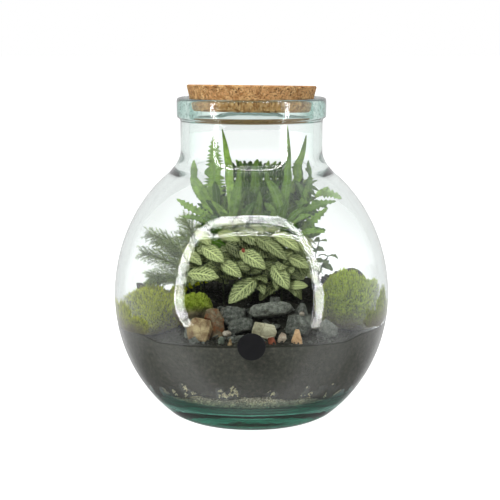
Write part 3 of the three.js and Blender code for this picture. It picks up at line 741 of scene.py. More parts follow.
# A look's dark, middle and light colours, the size of its grain and the depth of its relief
STONE_LOOKS = dict(
    slate=((48, 49, 45), (86, 88, 81), (124, 126, 118), 0.9, 1.1),
    brown=((50, 48, 42), (86, 84, 76), (128, 125, 112), 0.9, 1.1),
    grey=((64, 66, 60), (108, 110, 101), (150, 152, 141), 1.2, 1.1),
    tan=((98, 60, 42), (134, 112, 80), (182, 164, 124), 3.4, 0.6),
    rust=((112, 62, 26), (88, 76, 58), (140, 126, 100), 2.6, 0.6),
    cream=((104, 98, 74), (162, 156, 130), (196, 192, 168), 5.0, 0.5),
    green=((70, 76, 66), (108, 114, 102), (150, 156, 142), 4.0, 0.5),
    orange=((140, 98, 62), (190, 152, 112), (214, 188, 154), 4.0, 0.5),
    red=((84, 38, 26), (134, 70, 48), (172, 110, 82), 3.0, 0.5),
    white=((104, 88, 74), (150, 140, 126), (190, 184, 172), 2.6, 0.4),
    pink=((112, 94, 80), (158, 140, 122), (188, 174, 156), 3.0, 0.4),
)
STONES = dict(
    stone_tan="tan", stone_rust="rust", slate_flake="brown", slate_left="slate", slate_brown="slate",
    slate_slab="grey", slate_behind="slate", slate_back_right="slate", pebble_white="white",
    slate_big_right="slate", slate_far_right="grey", stone_cream="cream", slate_under="slate",
    pebble_pale="white", chip_tan="tan", chip_green="green", chip_red="red", chip_rust="red",
    pebble_pink="pink", chip_orange="orange", stone_grey_left="grey",
)
LAYERED = ("slate", "brown", "grey")
# A stone's worn edge and the size of its faces, as shares of its length, and its finest face
WORN = dict(edge=0.014, face=1 / 40, finest=0.4)
# The sizes of a stone's breaks and their depth, as shares of its length, and their least depth
BROKEN = dict(large=0.3, small=0.08, deep=0.018, least=0.12)
CHIPS = dict(count=150, x=(-52, 78), y=(-112, -52), size=(1.6, 4.6))


def stone_paint(look):
    dark, mid, light, size, depth = STONE_LOOKS[look]
    paint = Paint("stone_" + look, 0.8)
    tone = paint.ramp(paint.noise(size * 3, 5, 0.62), (0.32, dark), (0.5, mid), (0.7, light))
    dust = paint.levels(paint.noise(size, 6, 0.7), 0.52, 0.72)
    cracks = paint.levels(paint.cells(size * 2.4, "DISTANCE_TO_EDGE"), 0.05, 0.0)
    tone = paint.mix(cracks * 0.5, paint.mix(dust * 0.45, tone, light), dark)
    return paint.done(tone, paint.noise(size * 0.6, 6, 0.65) - cracks * 0.3, depth)


def worn_mesh(obj, longest):
    """The object's solid with worn edges, in faces fine enough to be broken up."""
    obj.modifiers.new("weld", "WELD").merge_threshold = 0.01 * MM
    obj.modifiers.new("worn", "BEVEL").width = WORN["edge"] * longest * MM
    remesh = obj.modifiers.new("remesh", "REMESH")
    remesh.mode = "VOXEL"
    remesh.voxel_size = max(WORN["finest"], WORN["face"] * longest) * MM
    mesh = bpy.data.meshes.new_from_object(obj.evaluated_get(bpy.context.evaluated_depsgraph_get()))
    obj.modifiers.clear()
    return mesh


def stones():
    paints = {look: stone_paint(look) for look in STONE_LOOKS}
    for seed, (name, look) in enumerate(STONES.items()):
        low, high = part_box(name)
        longest = max(high - low) / MM
        obj = add_object(name + "_worn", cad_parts[name].data.copy())
        obj.data = mesh = worn_mesh(obj, longest)
        points, normals = np.empty((2, 3 * len(mesh.vertices)), np.float32)
        mesh.vertices.foreach_get("co", points)
        mesh.vertices.foreach_get("normal", normals)
        points = points.reshape(-1, 3) / MM
        layered = points * ((1, 1, 2.6) if look in LAYERED else (1, 1, 1))
        broken = rough(layered, BROKEN["large"] * longest, 4, seed)
        broken += 0.4 * rough(layered, BROKEN["small"] * longest, 3, seed)
        depth = BROKEN["deep"] * longest + BROKEN["least"]
        points += normals.reshape(-1, 3) * (depth * np.minimum(broken, 0.35) - 0.25 * depth)[:, None]
        mesh.vertices.foreach_set("co", (points * MM).astype(np.float32).ravel())
        mesh.materials.clear()
        mesh.materials.append(paints[look])
        mesh.polygons.foreach_set("use_smooth", [look not in LAYERED] * len(mesh.polygons))
        mesh.update()
        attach(obj, "root")
        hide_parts(name)


def slate_chips():
    """Small flat chips that lie on the soil between the stones."""
    draws = np.random.default_rng(71)
    shape = Shape()
    k = np.arange(5)
    rim = np.stack([(k + 1) % 5, k, k + 5, (k + 1) % 5 + 5], -1)
    for _ in range(CHIPS["count"]):
        x, y = between(CHIPS["x"], draws.random()), between(CHIPS["y"], draws.random())
        size = between(CHIPS["size"], draws.random() ** 2)
        place = np.array([x, y, float(soil_top(x, y)) + 0.5 * size])
        if math.hypot(x, y) > inner_radius(place[2], GAP) - 1.3 * size:
            continue
        turns = 2 * math.pi * (k + 0.6 * draws.random(5)) / 5
        outline = polar(1, turns, 0) * size * (0.7 + 0.5 * draws.random((5, 1)))
        normal = unit(UP + 1.6 * stray(draws) - np.array([0, 0.7, 0]))
        side = unit(np.cross(normal, (1, 0, 0.01)))
        pose = np.stack([np.cross(side, normal), side, normal])
        thick = 0.14 * size * UP
        body = np.concatenate([outline + thick, 0.9 * outline - thick]) @ pose + place
        shape.add(body, [[k, 9 - k], rim])
    piece("slate_chips", shape, stone_paint("slate"), smooth=False)


# Moss and bark

MOSS = dict(
    moss_left=dict(
        at=(-96, -25, 100), half=(37, 58, 30), under=9, shoots=36000, length=5.2, look="olive", flat=0.16),
    moss_right=dict(at=(95, -24, 106), half=(35, 52, 38), under=14, shoots=36000, length=5.0, look="green"),
    moss_ball=dict(at=(-54, -65, 118), half=(19, 14, 14), under=20, shoots=11000, length=2.2, look="bright"),
    moss_back=dict(at=(-42, 92, 99), half=(46, 27, 22), under=8, shoots=14000, length=4.0, look="olive"),
)
MOSS_LUMP = 0.07
MOSS_BROWN = (132, 122, 92)
MOSS_LOOKS = dict(
    olive=((70, 76, 8), (168, 176, 16), (224, 230, 48)),
    green=((64, 82, 12), (154, 176, 32), (212, 226, 76)),
    bright=((92, 108, 22), (164, 186, 56), (214, 226, 108)),
)
SHOOT = dict(half=(0.28, 0.48), share=(0.5, 1.3), deep=4.0)
MOSS_CLUMPS = dict(size=9, high=2.2, deep=3.2, full=30)  # in full on a cushion of that height
DRY_TUFTS = dict(at=(104, 40), spread=(22, 34), count=9000, length=4.0, half=(0.2, 0.35))
BARK = dict(at=(-101, 12, 128), length=30, radius=3.4, tilt=-5)


def moss_points(rule, seed, out):
    """Places on a cushion for points on the unit ball."""
    x, y, z = out.T
    lump = np.sin(5 * x + seed) * np.cos(6 * y - seed) + 0.6 * np.sin(9 * x * y + 2 * seed)
    swell = 1 + MOSS_LUMP * lump * np.where(z > 0, 1, 0.4)
    height = np.where(z > 0, rule["half"][2] * (1 - rule.get("flat", 0) * z * z), rule["under"])
    return join(rule["half"][0] * x, rule["half"][1] * y, height * z) * swell[:, None] + rule["at"]


def moss_paint(look):
    dark, mid, light = MOSS_LOOKS[look]
    paint = Paint("moss_" + look, 0.9, 0.2)
    level, along, draw = paint.guide()
    tone = paint.ramp(along, (0.0, dark), (0.5, mid), (1.0, light))
    tone = paint.mix(paint.levels(paint.noise(11, 5, 0.7), 0.5, 0.64) * 0.5, tone, dark)
    tone = paint.mix(paint.levels(paint.noise(3.2, 3, 0.6), 0.42, 0.6) * 0.45, tone, light)
    tone = paint.mix(paint.levels(draw, 0.35, 0.0), tone, dark)
    tone = paint.mix(paint.levels(draw, 0.55, 1.6), tone, light)
    ragged = level + paint.noise(6, 4, 0.7) * 0.5
    return paint.done(paint.mix(paint.levels(ragged, 0.55, 0.1), tone, MOSS_BROWN), through=0.25)


def on_cushion(rule, seed, out, deep):
    """Places in a clumpy cushion for points on the unit ball, and the way out of it at each."""
    points = moss_points(rule, seed, out)
    way = unit(points - rule["at"])
    clumps = MOSS_CLUMPS["high"] * rough(points, MOSS_CLUMPS["size"], 4, seed) - deep
    return points + min(1.0, rule["half"][2] / MOSS_CLUMPS["full"]) * way * clumps[:, None], way


def moss_level(rule, points):
    """How high points lie on a cushion, as a share of its height."""
    return (points[:, 2] - rule["at"][2]) / rule["half"][2]


def moss_body(shape, rule, seed):
    """The lumpy body under the shoots."""
    tilt = (math.pi * np.linspace(0.01, 0.99, 41))[:, None]
    ball = polar(np.sin(tilt), circle(72), np.cos(tilt))
    body, _ = on_cushion(rule, seed, ball.reshape(-1, 3), MOSS_CLUMPS["deep"])
    body = keep_inside(body)
    guides = join(np.clip(moss_level(rule, body), -1, 1), 0.12, 0.2)
    shape.add_rings(body.reshape(ball.shape)[::-1], guides.reshape(ball.shape)[::-1])


def moss_shoots(shape, rule, seed):
    """A coat of single shoots, each one a small leaf of five points."""
    draws = np.random.default_rng(20 + seed)
    count = rule["shoots"]
    z = 1 - 1.75 * draws.random(count)
    turn = 2 * math.pi * draws.random(count)
    root, out = on_cushion(rule, seed, polar(np.sqrt(np.maximum(0, 1 - z * z)), turn, z), SHOOT["deep"])
    lean = unit(0.8 * out + 0.7 * UP + 0.7 * stray(draws, count))
    side = unit(np.cross(lean, stray(draws, count)))
    clump = (0.8 + 0.9 * rough(root, 4, 2, seed + 5))[:, None].clip(0.25)
    length = rule["length"] * clump * between(SHOOT["share"], draws.random((count, 1)))
    tip = keep_inside(root + length * lean)
    root = keep_inside(root)
    half = between(SHOOT["half"], draws.random((count, 1))) * side
    widest = 0.5 * (root + tip) + 0.12 * length * side
    points = np.stack([root - half, root + half, widest + 1.2 * half, tip, widest - 1.2 * half], 1)
    guides = join(moss_level(rule, root)[:, None], [0.15, 0.15, 0.6, 1.0, 0.6], draws.random((count, 1)))
    shape.add(points, [copies([(0, 1, 2, 4)], 5, count), copies([(4, 2, 3)], 5, count)], guides)


def moss():
    paints = {look: moss_paint(look) for look in MOSS_LOOKS}
    for seed, (name, rule) in enumerate(MOSS.items(), 1):
        shape = Shape()
        moss_body(shape, rule, seed)
        moss_shoots(shape, rule, seed)
        piece(name + "_tufts", shape, paints[rule["look"]], [name])


def dry_tufts():
    """Dry moss on the soil of the right bank."""
    draws = np.random.default_rng(55)
    count = DRY_TUFTS["count"]
    turn, reach = 2 * math.pi * draws.random(count), np.sqrt(draws.random(count))
    x = DRY_TUFTS["at"][0] + DRY_TUFTS["spread"][0] * reach * np.cos(turn)
    y = DRY_TUFTS["at"][1] + DRY_TUFTS["spread"][1] * reach * np.sin(turn)
    root = join(x, y, soil_top(x, y) - 0.5)
    lean = unit(UP + 0.9 * stray(draws, count))
    side = unit(np.cross(lean, stray(draws, count)))
    share = (0.3 + 0.7 * draws.random((count, 1))) * (0.6 + 0.6 * rough(root, 7, 2)[:, None])
    half = between(DRY_TUFTS["half"], draws.random((count, 1))) * side
    points = np.stack([root - half, root + half, root + DRY_TUFTS["length"] * share * lean], 1)
    level = -0.1 + 0.5 * draws.random((count, 1))
    guides = join(level, [0.15, 0.15, 1.0], draws.random((count, 1)))
    shape = Shape()
    shape.add(keep_inside(points.reshape(-1, 3), GAP), [copies([(0, 1, 2)], 3, count)], guides)
    piece("dry_tufts", shape, moss_paint("olive"))


def bark_piece():
    paint = Paint("bark", 0.95)
    patches = paint.noise(3, 6, 0.7)
    tone = paint.ramp(patches, (0.3, (46, 43, 38)), (0.6, (84, 78, 68)), (0.8, (126, 120, 108)))
    along = (np.arange(61) / 60 - 0.5)[:, None]
    turn = circle(36)
    radius = BARK["radius"] * (1 - 1.1 * along ** 2 + 0.25 * np.sin(17 * along + 2 * turn))
    flat = join(BARK["length"] * along, 4 * np.cos(turn), 4 * np.sin(turn))
    radius = radius + 0.5 * rough(flat.reshape(-1, 3), 2.6, 4).reshape(radius.shape)
    rings = join(BARK["length"] * along, radius * np.cos(turn), radius * np.sin(turn) + 2 * np.sin(5 * along))
    pose = np.array(Matrix.Rotation(math.radians(BARK["tilt"]), 3, "Y"))
    shape = Shape()
    shape.add_rings(rings @ pose.T + BARK["at"])
    piece("bark_fine", shape, paint.done(tone, paint.noise(1.2, 5, 0.7), 0.8), ["bark_piece"])


# Stems

def add_stem(shape, root, tip, lift, radius, draw):
    """The straight foot of a stem in the soil, and its curve up to the tip."""
    x, y = root
    ground = float(soil_top(x, y))
    neck, end = np.array([x, y, ground + STRAIGHT]), np.array(tip, float)
    corner = np.array([x, y, ground + lift * (end[2] - ground)])
    curve = Curve(neck, corner + LEAN * (end - corner), end)
    foot = neck - (STRAIGHT + SUNK) * UP
    tube(shape, Curve(foot, 0.5 * (foot + neck), neck), radius, radius, 1, draw=draw)
    tube(shape, curve, radius, 0.55 * radius, 16, draw=draw)
    return curve


# Ribbon fern

FERN = dict(stem=0.9, fold=0.16, teeth=0.1, tooth=3.2)
FORK = 0.98
FRONT = (0, -1, 0.25)
BACK = (0, 1, 0.25)
# A frond's leaflets: the share of the stem below it, its tip, width and bow, and True where it is toothed
FRONDS = [
    dict(root=(-16, 2), tip=(-36, -2, 206), leaflets=[
        (1, (-56, -8, 250), 12, (-12, 0, -4)), (0.96, (-36, 4, 277), 17, (-3, 3, 0), True),
        (0.86, (-24, -4, 216), 9, (-2, -4, 8))]),
    dict(root=(-6, -3), tip=(-20, -12, 196), leaflets=[
        (1, (-28, -8, 285), 8, (4, 0, 0)), (0.94, (-11, -22, 243), 11, (0, -3, 0)),
        (0.8, (-38, -26, 214), 8, (-2, -3, 6))]),
    dict(root=(0, 6), tip=(2, 4, 204), leaflets=[
        (1, (4, 0, 248), 11, (1, -3, 0)), (0.92, (-11, 6, 247), 10, (-6, -2, 0)),
        (0.9, (17, 6, 247), 10, (6, -2, 0)), (0.7, (8, -10, 222), 9, (4, -4, 0))]),
    dict(root=(16, -3), tip=(31, -14, 192), leaflets=[
        (1, (12, -24, 240), 11, (5, -3, 6)), (0.97, (37, -12, 262), 9, (0, -2, 0)),
        (0.85, (52, -24, 208), 8, (0, -2, 6))]),
    dict(root=(16, 2), tip=(37, 2, 214), leaflets=[
        (1, (35, 4, 288), 5, (2, 0, 0)), (0.98, (53, -4, 278), 8, (3, 0, -6)),
        (0.95, (50, 8, 256), 6, (2, 0, -4))]),
    dict(root=(24, 4), tip=(67, 2, 220), face=(0.2, -1, 0.7), leaflets=[
        (1, (88, 0, 214), 10, (0, 0, 5), True), (0.95, (74, -8, 226), 6, (0, 0, 0)),
        (0.9, (74, -6, 204), 6, (2, 0, 2)), (0.72, (54, -4, 226), 7, (0, 0, 2))]),
    dict(root=(20, 16), tip=(50, 20, 228), leaflets=[
        (1, (63, 20, 239), 5, (0, 0, 3)), (0.95, (69, 24, 219), 5, (2, 0, 6)),
        (0.8, (34, 20, 244), 7, (-4, 0, 0))]),
    dict(root=(30, -2), tip=(50, -12, 186), face=(0.3, -1, 0.5), leaflets=[
        (1, (72, -18, 206), 9, (0, 0, 0), True), (0.9, (70, -24, 184), 8, (0, 0, 4), True)]),
    dict(root=(-24, 10), tip=(-40, 12, 196), face=(-0.3, -1, 0.6), leaflets=[
        (1, (-74, 10, 213), 9, (0, 0, -4), True), (0.85, (-68, 2, 196), 8, (0, 0, 4), True)]),
    dict(root=(2, 20), tip=(4, 30, 206), face=BACK, leaflets=[
        (1, (6, 36, 246), 11, (0, 4, 0)), (0.92, (-16, 44, 244), 10, (-4, 4, 0)),
        (0.88, (26, 46, 240), 10, (4, 4, 0))]),
    dict(root=(-14, 24), tip=(-34, 40, 190), face=(-0.5, 1, 0.5), leaflets=[
        (1, (-56, 48, 226), 11, (-4, 4, 0)), (0.9, (-28, 60, 212), 10, (0, 6, 0)),
        (0.75, (-60, 54, 178), 9, (-4, 4, 6), True)]),
    dict(root=(20, 28), tip=(42, 44, 188), face=(0.5, 1, 0.5), leaflets=[
        (1, (62, 52, 222), 11, (4, 4, 0)), (0.9, (32, 64, 210), 10, (0, 6, 0)),
        (0.75, (66, 62, 178), 9, (4, 4, 6), True)]),
]
# The short leaflets between the long ones: where they start on the stem, and the ways that they point
FILL = dict(
    count=14, top=247, span=(0.35, 0.95), sway=((-1.0, 1.0), (-0.45, 0.45), (0.15, 0.95)), length=(24, 42),
    width=(7, 11), toothed=0.35,
)
CROWNS = (2, 9)  # the fronds that carry the crown
CROWN = dict(across=(-23, 33), leaflets=13, height=(233, 246), width=(8, 11), span=(0.75, 0.97))


def fern_paint():
    paint = Paint("fern_leaf", 0.36)
    across, along, draw = paint.guide()
    beside = paint.math("ABSOLUTE", across)
    tone = paint.ramp(draw, (0.0, (34, 60, 14)), (0.45, (82, 122, 34)), (1.0, (176, 212, 104)))
    tone = paint.mix(paint.levels(paint.noise(7, 4), 0.4, 0.8), tone, (70, 106, 34))
    veins = paint.levels(paint.math("SINE", along * 120.0 - beside * 6.0), 0.4, 1.0)
    rib = paint.levels(beside, 0.16, 0.04)
    tone = paint.mix(veins * 0.16, tone, (36, 70, 28))
    tone = paint.mix(rib * 0.5, tone, (140, 166, 108))
    tone = paint.with_stem(along, tone, (92, 98, 50))
    return paint.done(tone, veins * 0.3 - rib, 0.25, through=0.22)


def add_leaflet(shape, start, tip, width, bow, toothed, face, draw):
    end = np.array(tip, float)
    curve = Curve(start, 0.5 * (start + end) + np.array(bow, float), end)
    length = np.linalg.norm(end - start) + 0.5 * np.linalg.norm(bow)
    steps = 2 * max(6, round(length / (FERN["tooth"] * (1.5 if toothed else 1))))
    t = np.linspace(0, 1, steps + 1)
    strap = np.sin(math.pi * (0.004 + 0.97 * t) ** 0.75) ** 0.8
    lobes = 1 + 0.12 * np.sin(9 * t + 7 * draw) if toothed else 1
    teeth = 1 + (3.2 if toothed else 1) * FERN["teeth"] * zigzag(steps)

    def ripple(a, t):
        return 0.5 * a * a * np.sin(26 * t + 9 * draw + 2 * a)

    blade(shape, curve, 0.5 * width * strap * lobes * teeth, face, 5, 0.7, FERN["fold"], ripple, draw)


def ribbon_fern():
    material = fern_paint()
    for index, rule in enumerate(FRONDS):
        draws = np.random.default_rng(100 + index)
        shape = Shape()
        curve = add_stem(shape, rule["root"], rule["tip"], 0.6, FERN["stem"], 0.5)
        face = unit(rule.get("face", FRONT))
        for share, tip, width, bow, *toothed in rule["leaflets"]:
            draw = 0.5 + 0.5 * draws.random()
            add_leaflet(shape, curve.at(FORK * share), tip, width, bow, toothed, face, draw)
        for _ in range(FILL["count"]):
            start = curve.at(between(FILL["span"], draws.random()))
            sway = unit([between(span, draws.random()) for span in FILL["sway"]])
            tip = start + between(FILL["length"], draws.random()) * sway
            tip[2] = min(tip[2], FILL["top"])
            toothed = draws.random() < FILL["toothed"]
            turned = unit(face + 0.6 * stray(draws))
            width = between(FILL["width"], draws.random())
            add_leaflet(shape, start, tip, width, (0, 0, 5), toothed, turned, 0.75 * draws.random())
        for x in np.linspace(*CROWN["across"], CROWN["leaflets"]) if index in CROWNS else ():
            up = between(CROWN["height"], draws.random())
            tip = (x + 4 * draws.random() - 2, rule["tip"][1] + 12 * draws.random() - 6, up)
            bow = (0.3 * (x - rule["tip"][0]), 0, -2)
            start = curve.at(between(CROWN["span"], draws.random()))
            width = between(CROWN["width"], draws.random())
            add_leaflet(shape, start, tip, width, bow, True, face, 0.4 * draws.random())
        name = f"fern_frond_{index + 1}"
        piece(name + "_fine", shape, material, [name])


# Nerve plant and sprigs

NERVE = dict(stem=1.1, pairs=7, leaf=25, width=17, fold=0.2, crinkle=0.05, front=0.75)
NERVE_STEMS = [
    dict(root=(-45, -26), tip=(-53, -32, 167), turn=0),
    dict(root=(-26, -48), tip=(-28.5, -56, 163), turn=29),
    dict(root=(-16, -27), tip=(-18, -33, 194), turn=35),
    dict(root=(0, -50), tip=(-1, -60, 156), turn=20),
    dict(root=(13, -27), tip=(13, -33, 187), turn=30),
    dict(root=(28, -49), tip=(30.5, -57.5, 158), turn=50),
    dict(root=(42, -27), tip=(46, -32, 176), turn=15),
]
SPRIG = dict(stem=0.8, pairs=4, leaf=15, width=9, fold=0.2, crinkle=0.06, front=0.4)
SPRIGS = [
    dict(root=(60, 8), tip=(68, 20, 170), turn=30),
    dict(root=(66, 22), tip=(78, 25, 154), turn=72),
]
HOLLOW = [(-50, -4), (-95, -30), (108, 149)]
# The leaves that stand out, and dark ones behind them: their stem, base, tip, width and how pale they are.
# The dark ones behind are painted shade: their low paleness stands for the shade behind the front leaves.
NERVE_LEAVES = [
    (1, (-59, -66, 151), (-30, -74, 148.5), 19, 0.9), (1, (-52, -60, 190), (-37, -68, 177), 13, 0.8),
    (1, (-62, -58, 170), (-46, -70, 160), 14, 0.5), (2, (-28, -68, 162), (-9.5, -76, 149.5), 15, 0.75),
    (2, (-46, -66, 176), (-25, -74, 163), 16, 1.0), (3, (-31, -60, 188), (-11, -68, 182), 13, 0.65),
    (3, (-11, -66, 172), (13, -76, 157), 18, 0.6), (4, (5, -64, 146), (-21, -78, 125), 19, 0.3),
    (4, (-14, -50, 160), (8, -58, 148), 18, 0.1), (4, (8, -52, 158), (24, -60, 146), 16, 0.05),
    (5, (12, -64, 181), (32, -70, 165), 14, 0.2), (5, (21, -62, 188), (44, -70, 173), 16, 0.75),
    (6, (19, -66, 158), (34, -76, 138), 18, 0.55), (6, (33, -66, 139), (52, -72, 140.5), 10, 0.85),
    (7, (34, -60, 166), (53, -66, 156), 14, 0.5), (7, (44, -56, 182), (56, -62, 168), 12, 0.45),
    (3, (-24, -46, 176), (-2, -50, 163), 19, 0.0), (3, (-12, -44, 188), (10, -48, 174), 18, 0.05),
    (2, (-35, -46, 155), (-14, -50, 143), 17, 0.0), (4, (-15, -44, 154), (6, -48, 142), 16, 0.0),
    (5, (4, -46, 182), (24, -50, 168), 18, 0.05), (3, (-14, -42, 184), (8, -46, 168), 20, 0.0),
    (5, (2, -42, 178), (22, -46, 162), 20, 0.0), (7, (38, -44, 176), (56, -50, 162), 16, 0.0),
]
BUD = dict(at=(-7.5, -73, 174), radius=1.7, tall=1.3)
LEAFY = dict(span=(0.38, 0.97), shorter=0.25, narrower=0.15)
LEAF_STEPS = 22
VEINS = 52


def veined_paint(name, dark, pale, share):
    """Pale veins in a net on dark green: a rib, side veins and fine cells between them."""
    paint = Paint(name, 0.5)
    across, along, draw = paint.guide()
    beside = paint.math("ABSOLUTE", across)
    rib = paint.levels(beside, 0.12, 0.05)
    rise = along - beside * 0.3 + paint.noise(3, 3) * 0.12
    sides = paint.levels(paint.math("SINE", rise * VEINS), 0.45, 0.9)
    twigs = paint.levels(paint.math("SINE", (rise - beside * 0.35) * (2.3 * VEINS)), 0.3, 0.8)
    twigs = twigs * paint.levels(beside, 0.2, 0.5)
    place = paint.node("CombineXYZ", 0, {0: across * 3.4, 1: rise * 9.0, 2: draw * 30.0})
    net = paint.levels(paint.cells(0.62, "DISTANCE_TO_EDGE", place=place), 0.16, 0.05)
    veins = paint.most(rib, sides, twigs * 0.8, net * 0.55) * paint.levels(beside, 1.0, 0.72)
    veins = paint.math("MULTIPLY", veins, draw * 0.6 + (share - 0.45), clamp=True)
    green = paint.mix(draw, dark, tuple(0.7 * d + 0.3 * p for d, p in zip(dark, pale)))
    tone = paint.mix(veins, green, pale)
    tone = paint.with_stem(along, tone, (52, 58, 34))
    return paint.done(tone, veins, -0.3, through=0.2)


def add_leaf(shape, curve, width, fold, crinkle, face, draw):
    t = np.linspace(0, 1, LEAF_STEPS + 1)
    oval = np.sin(math.pi * (0.012 + 0.975 * t) ** 0.9) ** 0.8
    teeth = 1 + crinkle * zigzag(LEAF_STEPS)

    def pucker(a, t):
        veins = np.cos(VEINS * (t - 0.3 * np.abs(a)) + math.pi)
        return width * (0.018 * veins * (1 - np.abs(a)) + 0.045 * a * a * np.sin(22 * t + 5 * a + 9 * draw))

    blade(shape, curve, 0.5 * width * oval * teeth, face, 9, 0.7, fold, pucker, draw)


def in_hollow(points):
    """Whether any point would hide the dark hollow under the front of the nerve plant."""
    low, high = np.array(HOLLOW, float).T
    return bool(np.any(np.all((points > low) & (points < high), axis=1)))


def add_front_leaf(shape, stem, base, tip, width, pale, draws):
    """A leaf on a stalk of its own, which starts a little lower on the stem than the leaf."""
    base, tip = np.array(base, float), np.array(tip, float)
    shares = np.linspace(0.1, 1, 40)
    start = stem.at(shares[np.argmin(np.abs(stem.at(shares)[:, 2] - (base[2] - 6)))])
    tube(shape, Curve(start, 0.5 * (start + base) + 3 * UP, base), 0.6, 0.4, 8, draw=0.3)
    bow = (0.1 * UP - (0, 0.1, 0)) * np.linalg.norm(tip - base)
    face = unit(np.array([0, -1, 0.7]) + 0.5 * stray(draws))
    add_leaf(shape, Curve(base, 0.5 * (base + tip) + bow, tip), width, NERVE["fold"], 0.07, face, pale)


def leafy_stem(name, rule, plant, material, seed, front=()):
    """A stem with its leaves in crossed pairs, which arch over and turn their tops to the front."""
    draws = np.random.default_rng(seed)
    shape = Shape()
    curve = add_stem(shape, rule["root"], rule["tip"], 0.5, plant["stem"], 0.3)
    for pair in range(plant["pairs"]):
        up = pair / (plant["pairs"] - 1)
        start = curve.at(between(LEAFY["span"], up))
        length = plant["leaf"] * (1 - LEAFY["shorter"] * up) * (0.85 + 0.3 * draws.random())
        width = plant["width"] * (1 - LEAFY["narrower"] * up)
        for side in range(2):
            azimuth = math.radians(rule["turn"] + 90 * pair + 180 * side + 50 * (draws.random() - 0.5))
            out = np.array([math.cos(azimuth), math.sin(azimuth), 0])
            drop = 0.35 - 0.35 * up + 0.3 * (draws.random() - 0.3)
            top = start + 0.5 * length * out + 0.22 * length * UP
            leaf = Curve(start, top, start + 0.85 * length * out - drop * length * UP)
            face = unit(UP + plant["front"] * np.array([0, -1, 0]) + 0.35 * out + 0.9 * stray(draws))
            # On a stem with front leaves, its own leaves lie behind them and are painted darker: painted
            # shade among the leaves.
            pale = (0.45 if len(front) else 1) * draws.random()
            if not in_hollow(leaf.at(np.linspace(0.3, 1, 8))):
                add_leaf(shape, leaf, width, plant["fold"], plant["crinkle"], face, pale)
    for base, tip, width, pale in front:
        add_front_leaf(shape, curve, base, tip, width, pale, draws)
    piece(name + "_fine", shape, material, [name])


def red_bud():
    """A small closed bud at the foot of a front leaf."""
    tilt = np.linspace(0, math.pi, 9)[:, None]
    shape = Shape()
    shape.add_rings(BUD["radius"] * polar(np.sin(tilt), circle(12), -BUD["tall"] * np.cos(tilt)) + BUD["at"])
    piece("red_bud", shape, Paint("red_bud", 0.5).done((126, 52, 34)))


def leafy_plants():
    nerve = veined_paint("nerve_leaf", (24, 42, 8), (220, 230, 160), 1.0)
    sprig = veined_paint("sprig_leaf", (62, 88, 44), (150, 168, 112), 0.55)
    for k, rule in enumerate(NERVE_STEMS):
        front = [leaf for stem, *leaf in NERVE_LEAVES if stem == k + 1]
        leafy_stem(f"nerve_stem_{k + 1}", rule, NERVE, nerve, 200 + k, front)
    red_bud()
    for k, rule in enumerate(SPRIGS):
        leafy_stem(f"sprig_{k + 1}", rule, SPRIG, sprig, 230 + k)


# Asparagus fern

PLUME = dict(stem=1.0, branches=84, needle=18, span=(0.2, 0.98), forward=0.8, shortest=0.5, tufts=60)
PLUME_TURN = math.radians(137)
PLUME_FLAT = 0.55
PLUMES = [
    dict(root=(-50, 8), tip=(-103, 17, 177), lift=0.75),
    dict(root=(-56, 3), tip=(-108, 3, 160), lift=0.7),
    dict(root=(-58, 16), tip=(-97, 46, 166), lift=0.7),
    dict(root=(-48, 22), tip=(-68, 32, 190), lift=0.6, pale=0.7),
    dict(root=(-60, -6), tip=(-98, -14, 138), lift=1.1),
    dict(root=(-44, 34), tip=(-74, 74, 168), lift=0.7),
]


def plume_paint():
    paint = Paint("asparagus_needles", 0.6)
    _, along, draw = paint.guide()
    tone = paint.ramp(draw, (0.0, (96, 116, 62)), (0.5, (160, 184, 104)), (1.0, (222, 238, 150)))
    tone = paint.mix(paint.levels(paint.noise(22, 3), 0.5, 0.75), tone, (138, 154, 124))
    tone = paint.with_stem(along, tone, (86, 96, 56))
    return paint.done(tone, through=0.3)


def add_needles(shape, roots, ahead, length, half, draw):
    """Slim needles of three sides."""
    side = unit(np.cross(ahead, UP + 0.01))
    up = np.cross(side, ahead)
    points = np.stack([
        roots + half * side, roots - 0.5 * half * side + 0.8 * half * up,
        roots - 0.5 * half * side - 0.8 * half * up, roots + length[:, None] * ahead], 1)
    faces = copies([(0, 1, 3), (1, 2, 3), (2, 0, 3), (2, 1, 0)], 4, len(roots))
    shape.add(points, [faces], join(np.zeros((len(roots), 4)), 0.5, draw[:, None]))


def asparagus_fern():
    material = plume_paint()
    for index, rule in enumerate(PLUMES):
        draws = np.random.default_rng(300 + index)
        shape = Shape()
        root, tip = rule["root"], rule["tip"]
        curve = add_stem(shape, root, tip, rule["lift"], PLUME["stem"], 0.4)
        side = unit([root[1] - tip[1], tip[0] - root[0], 0])
        at = np.linspace(0.1, 1, PLUME["tufts"])
        for k in range(PLUME["branches"]):
            share = k / (PLUME["branches"] - 1)
            place = between(PLUME["span"], share)
            ahead = curve.ahead(place)
            up = unit(np.cross(ahead, side))
            turn = k * PLUME_TURN + 0.5 * draws.random()
            out = unit(PLUME["forward"] * ahead + math.cos(turn) * side + PLUME_FLAT * math.sin(turn) * up)
            bulge = math.sin(math.pi * (0.2 + 0.7 * share))
            length = PLUME["needle"] * between((PLUME["shortest"], 1), bulge)
            start = curve.at(place)
            middle = start + 0.5 * length * out + 0.08 * length * UP
            branch = Curve(start, middle, start + length * out - 0.06 * length * UP)
            draw = min(1, draws.random() + rule.get("pale", 0))
            tube(shape, branch, 0.2, 0.12, 4, 3, draw)
            forward = branch.ahead(at)
            needle = unit(0.55 * forward + unit(np.cross(forward, stray(draws, len(at)))))
            size = (4.4 - 1.8 * at) * (0.5 + 0.9 * draws.random(len(at)))
            add_needles(shape, branch.at(at), needle, size, 0.15, 0.5 * draw + 0.5 * draws.random(len(at)))
        name = f"plume_spray_{index + 1}"
        piece(name + "_fine", shape, material, [name])


# Studio: camera, floor, lights and what the glass mirrors

TENT_RADIUS = 2600
TENT_MIDDLE = (0, 0, 150)
